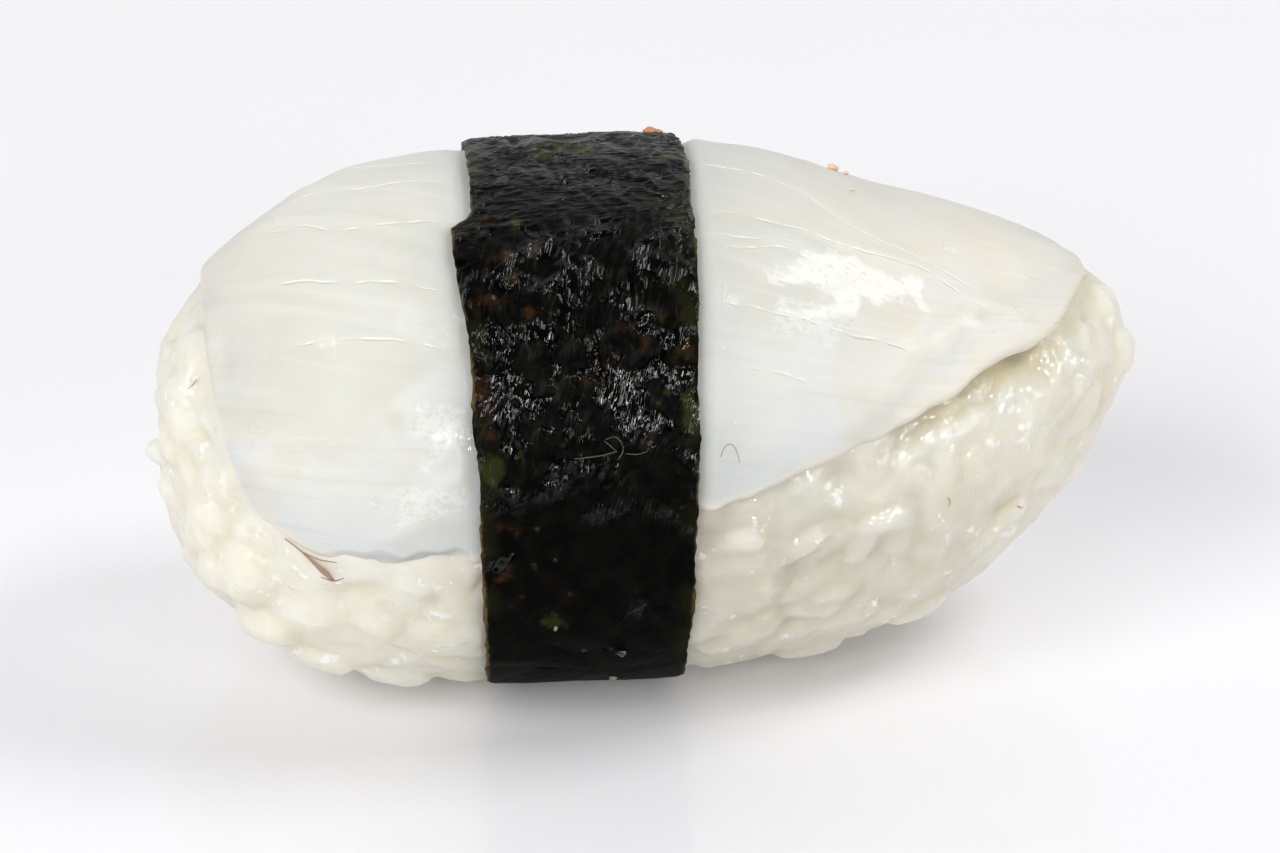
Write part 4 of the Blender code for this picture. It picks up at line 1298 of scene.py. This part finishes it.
def lump(pieces, crumb, seed, rings=9, sides=12):
    """An uneven small lump that sits on the pieces."""
    station, angle, length, width, height, way = crumb
    place, out = surface_over(pieces, station, angle)
    east = Vector((1, 0, 0))
    east = (east - out * east.dot(out)).normalized()
    turn = math.radians(way)
    level = east * math.cos(turn) + out.cross(east) * math.sin(turn)
    frame_of = np.array([level * length, out.cross(level) * width, out * height]) / 2000
    polar = np.linspace(0, math.pi, rings)[1:-1]
    round_it = np.linspace(0, 2 * math.pi, sides, endpoint=False)
    ring = np.sin(polar)[:, None]
    ball = np.stack([ring * np.cos(round_it), ring * np.sin(round_it),
                     np.repeat(np.cos(polar)[:, None], sides, 1)], -1).reshape(-1, 3)
    ball = np.vstack([ball, [(0, 0, 1), (0, 0, -1)]])
    ball *= (1 + 0.13 * ripples(ball, 1.3, seed))[:, None]
    place_out = np.array(place + out * height * 0.00025)
    return place_out + ball @ frame_of, capped_faces(rings - 2, sides)


def gather(name, parts, colour, roughness):
    """One piece of many small closed parts, with a plain material of its own."""
    points, faces = [], []
    for part_points, part_faces in parts:
        start = sum(len(group) for group in points)
        points.append(part_points)
        faces += [[start + corner for corner in face] for face in part_faces]
    piece = mesh_piece(name, np.vstack(points), faces)
    look = Finish(name)
    look.give(Base_Color=colour, Roughness=roughness)
    piece.data.materials.append(look.material)
    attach(piece, "root")
    return piece


pieces = (rice_block, topping_slab, nori_band)
bpy.context.view_layer.update()
for name, paths, steps, colour, roughness, slot in STRANDS:
    gather(name, [sweep(pieces, path, steps) for path in paths], colour, roughness)
for name, crumbs, seed, colour, roughness, slot in LUMPS:
    lumps = [lump(pieces, crumb, seed + k) for k, crumb in enumerate(crumbs)]
    gather(name, lumps, colour, roughness)

# ---------------------------------------------------------------------------------------------
# The table, the light and the camera: a pale glossy table top, soft boxes above, behind and at
# both sides, and a long lens that looks down on the front from a little to the left.

TABLE_SIZE = 6.0
TABLE_DARKER = (0.775, 0.775, 0.80)
TABLE_LIGHTER = (0.795, 0.795, 0.82)
TABLE_PAINTED_GLOW = (1.0, 0.97, 0.94)
VIEW_AZIMUTH = -10
VIEW_ELEVATION = 26
VIEW_DISTANCE = 0.400
VIEW_AIM = (0.0, 0.0, 0.0138)
SENSOR = 36
LENS = 180


def make_table():
    half = TABLE_SIZE / 2
    mesh = bpy.data.meshes.new("table")
    mesh.from_pydata([(-half, -half, 0), (half, -half, 0), (half, half, 0), (-half, half, 0)],
                     [], [(0, 1, 2, 3)])
    table = bpy.data.objects.new("table", mesh)
    table.location.z = -0.00005
    bpy.context.scene.collection.objects.link(table)
    look = Finish("table")
    cloud = look.noise(look.node("ShaderNodeTexCoord", {})["Object"], 30)
    # The top glows a little: painted light that lifts the shadows cast on it.
    look.give(Base_Color=look.mix(cloud, TABLE_DARKER, TABLE_LIGHTER), Roughness=0.05,
              Emission_Color=TABLE_PAINTED_GLOW, Emission_Strength=0.10)
    mesh.materials.append(look.material)
    return table


def soft_box(name, place, width, height, power, lit=True, mirrored=True):
    """A light panel aimed at the food. One that isn't lit only shows its mirror image, as a
    bare bulb in a bigger box does; one that isn't mirrored only fills, as a far one would."""
    light = bpy.data.lights.new(name, "AREA")
    light.shape = "RECTANGLE"
    light.size = width
    light.size_y = height
    light.energy = power
    lamp = bpy.data.objects.new(name, light)
    lamp.location = place
    lamp.rotation_euler = (Vector((0, 0, 0.01)) - Vector(place)).to_track_quat("-Z", "Y").to_euler()
    lamp.visible_diffuse = lit
    lamp.visible_glossy = mirrored
    bpy.context.scene.collection.objects.link(lamp)
    return lamp


make_table()
soft_box("right", (0.64, 0.0, 0.77), 0.42, 0.36, 4.1)
soft_box("left", (-0.64, -0.40, 0.67), 0.42, 0.36, 4.2)
soft_box("low", (-0.50, -0.72, 0.47), 0.30, 0.24, 1.7)
soft_box("front", (0.30, -0.86, 0.42), 0.30, 0.24, 1.5)
soft_box("front fill", (-0.45, -0.95, 0.72), 0.90, 0.60, 3.0, mirrored=False)
soft_box("front bulb", (0.30, -0.86, 0.44), 0.22, 0.18, 4.4, lit=False)
soft_box("low bulb", (-0.50, -0.72, 0.47), 0.22, 0.18, 3.6, lit=False)
soft_box("side bulb", (0.88, -0.44, 0.18), 0.22, 0.18, 4.4, lit=False)

world = bpy.data.worlds.new("studio")
world.use_nodes = True
room = Nodes(world.node_tree)
way = room.node("ShaderNodeTexCoord", {})["Generated"]
depth = room.node("ShaderNodeMapRange",
                  {"Value": room.node("ShaderNodeSeparateXYZ", {"Vector": way})["Y"],
                   "From Min": -0.05, "From Max": 0.60, "To Min": 0.05, "To Max": 0.85},
                  interpolation_type="SMOOTHSTEP")["Result"]
sky = world.node_tree.nodes["Background"]
room.feed(sky.inputs["Strength"], depth)
room.feed(sky.inputs["Color"], (0.97, 0.97, 1.0))
bpy.context.scene.world = world
bpy.context.scene.view_settings.view_transform = "Standard"

lens = bpy.data.cameras.new("camera")
lens.lens = LENS
lens.sensor_width = SENSOR
lens.clip_start = 0.01
lens.clip_end = 20
camera = bpy.data.objects.new("camera", lens)
azimuth, elevation = math.radians(VIEW_AZIMUTH), math.radians(VIEW_ELEVATION)
back = Vector((math.sin(azimuth) * math.cos(elevation), -math.cos(azimuth) * math.cos(elevation),
               math.sin(elevation)))
camera.location = Vector(VIEW_AIM) + back * VIEW_DISTANCE
camera.rotation_euler = (-back).to_track_quat("-Z", "Y").to_euler()
bpy.context.scene.collection.objects.link(camera)
bpy.context.scene.camera = camera
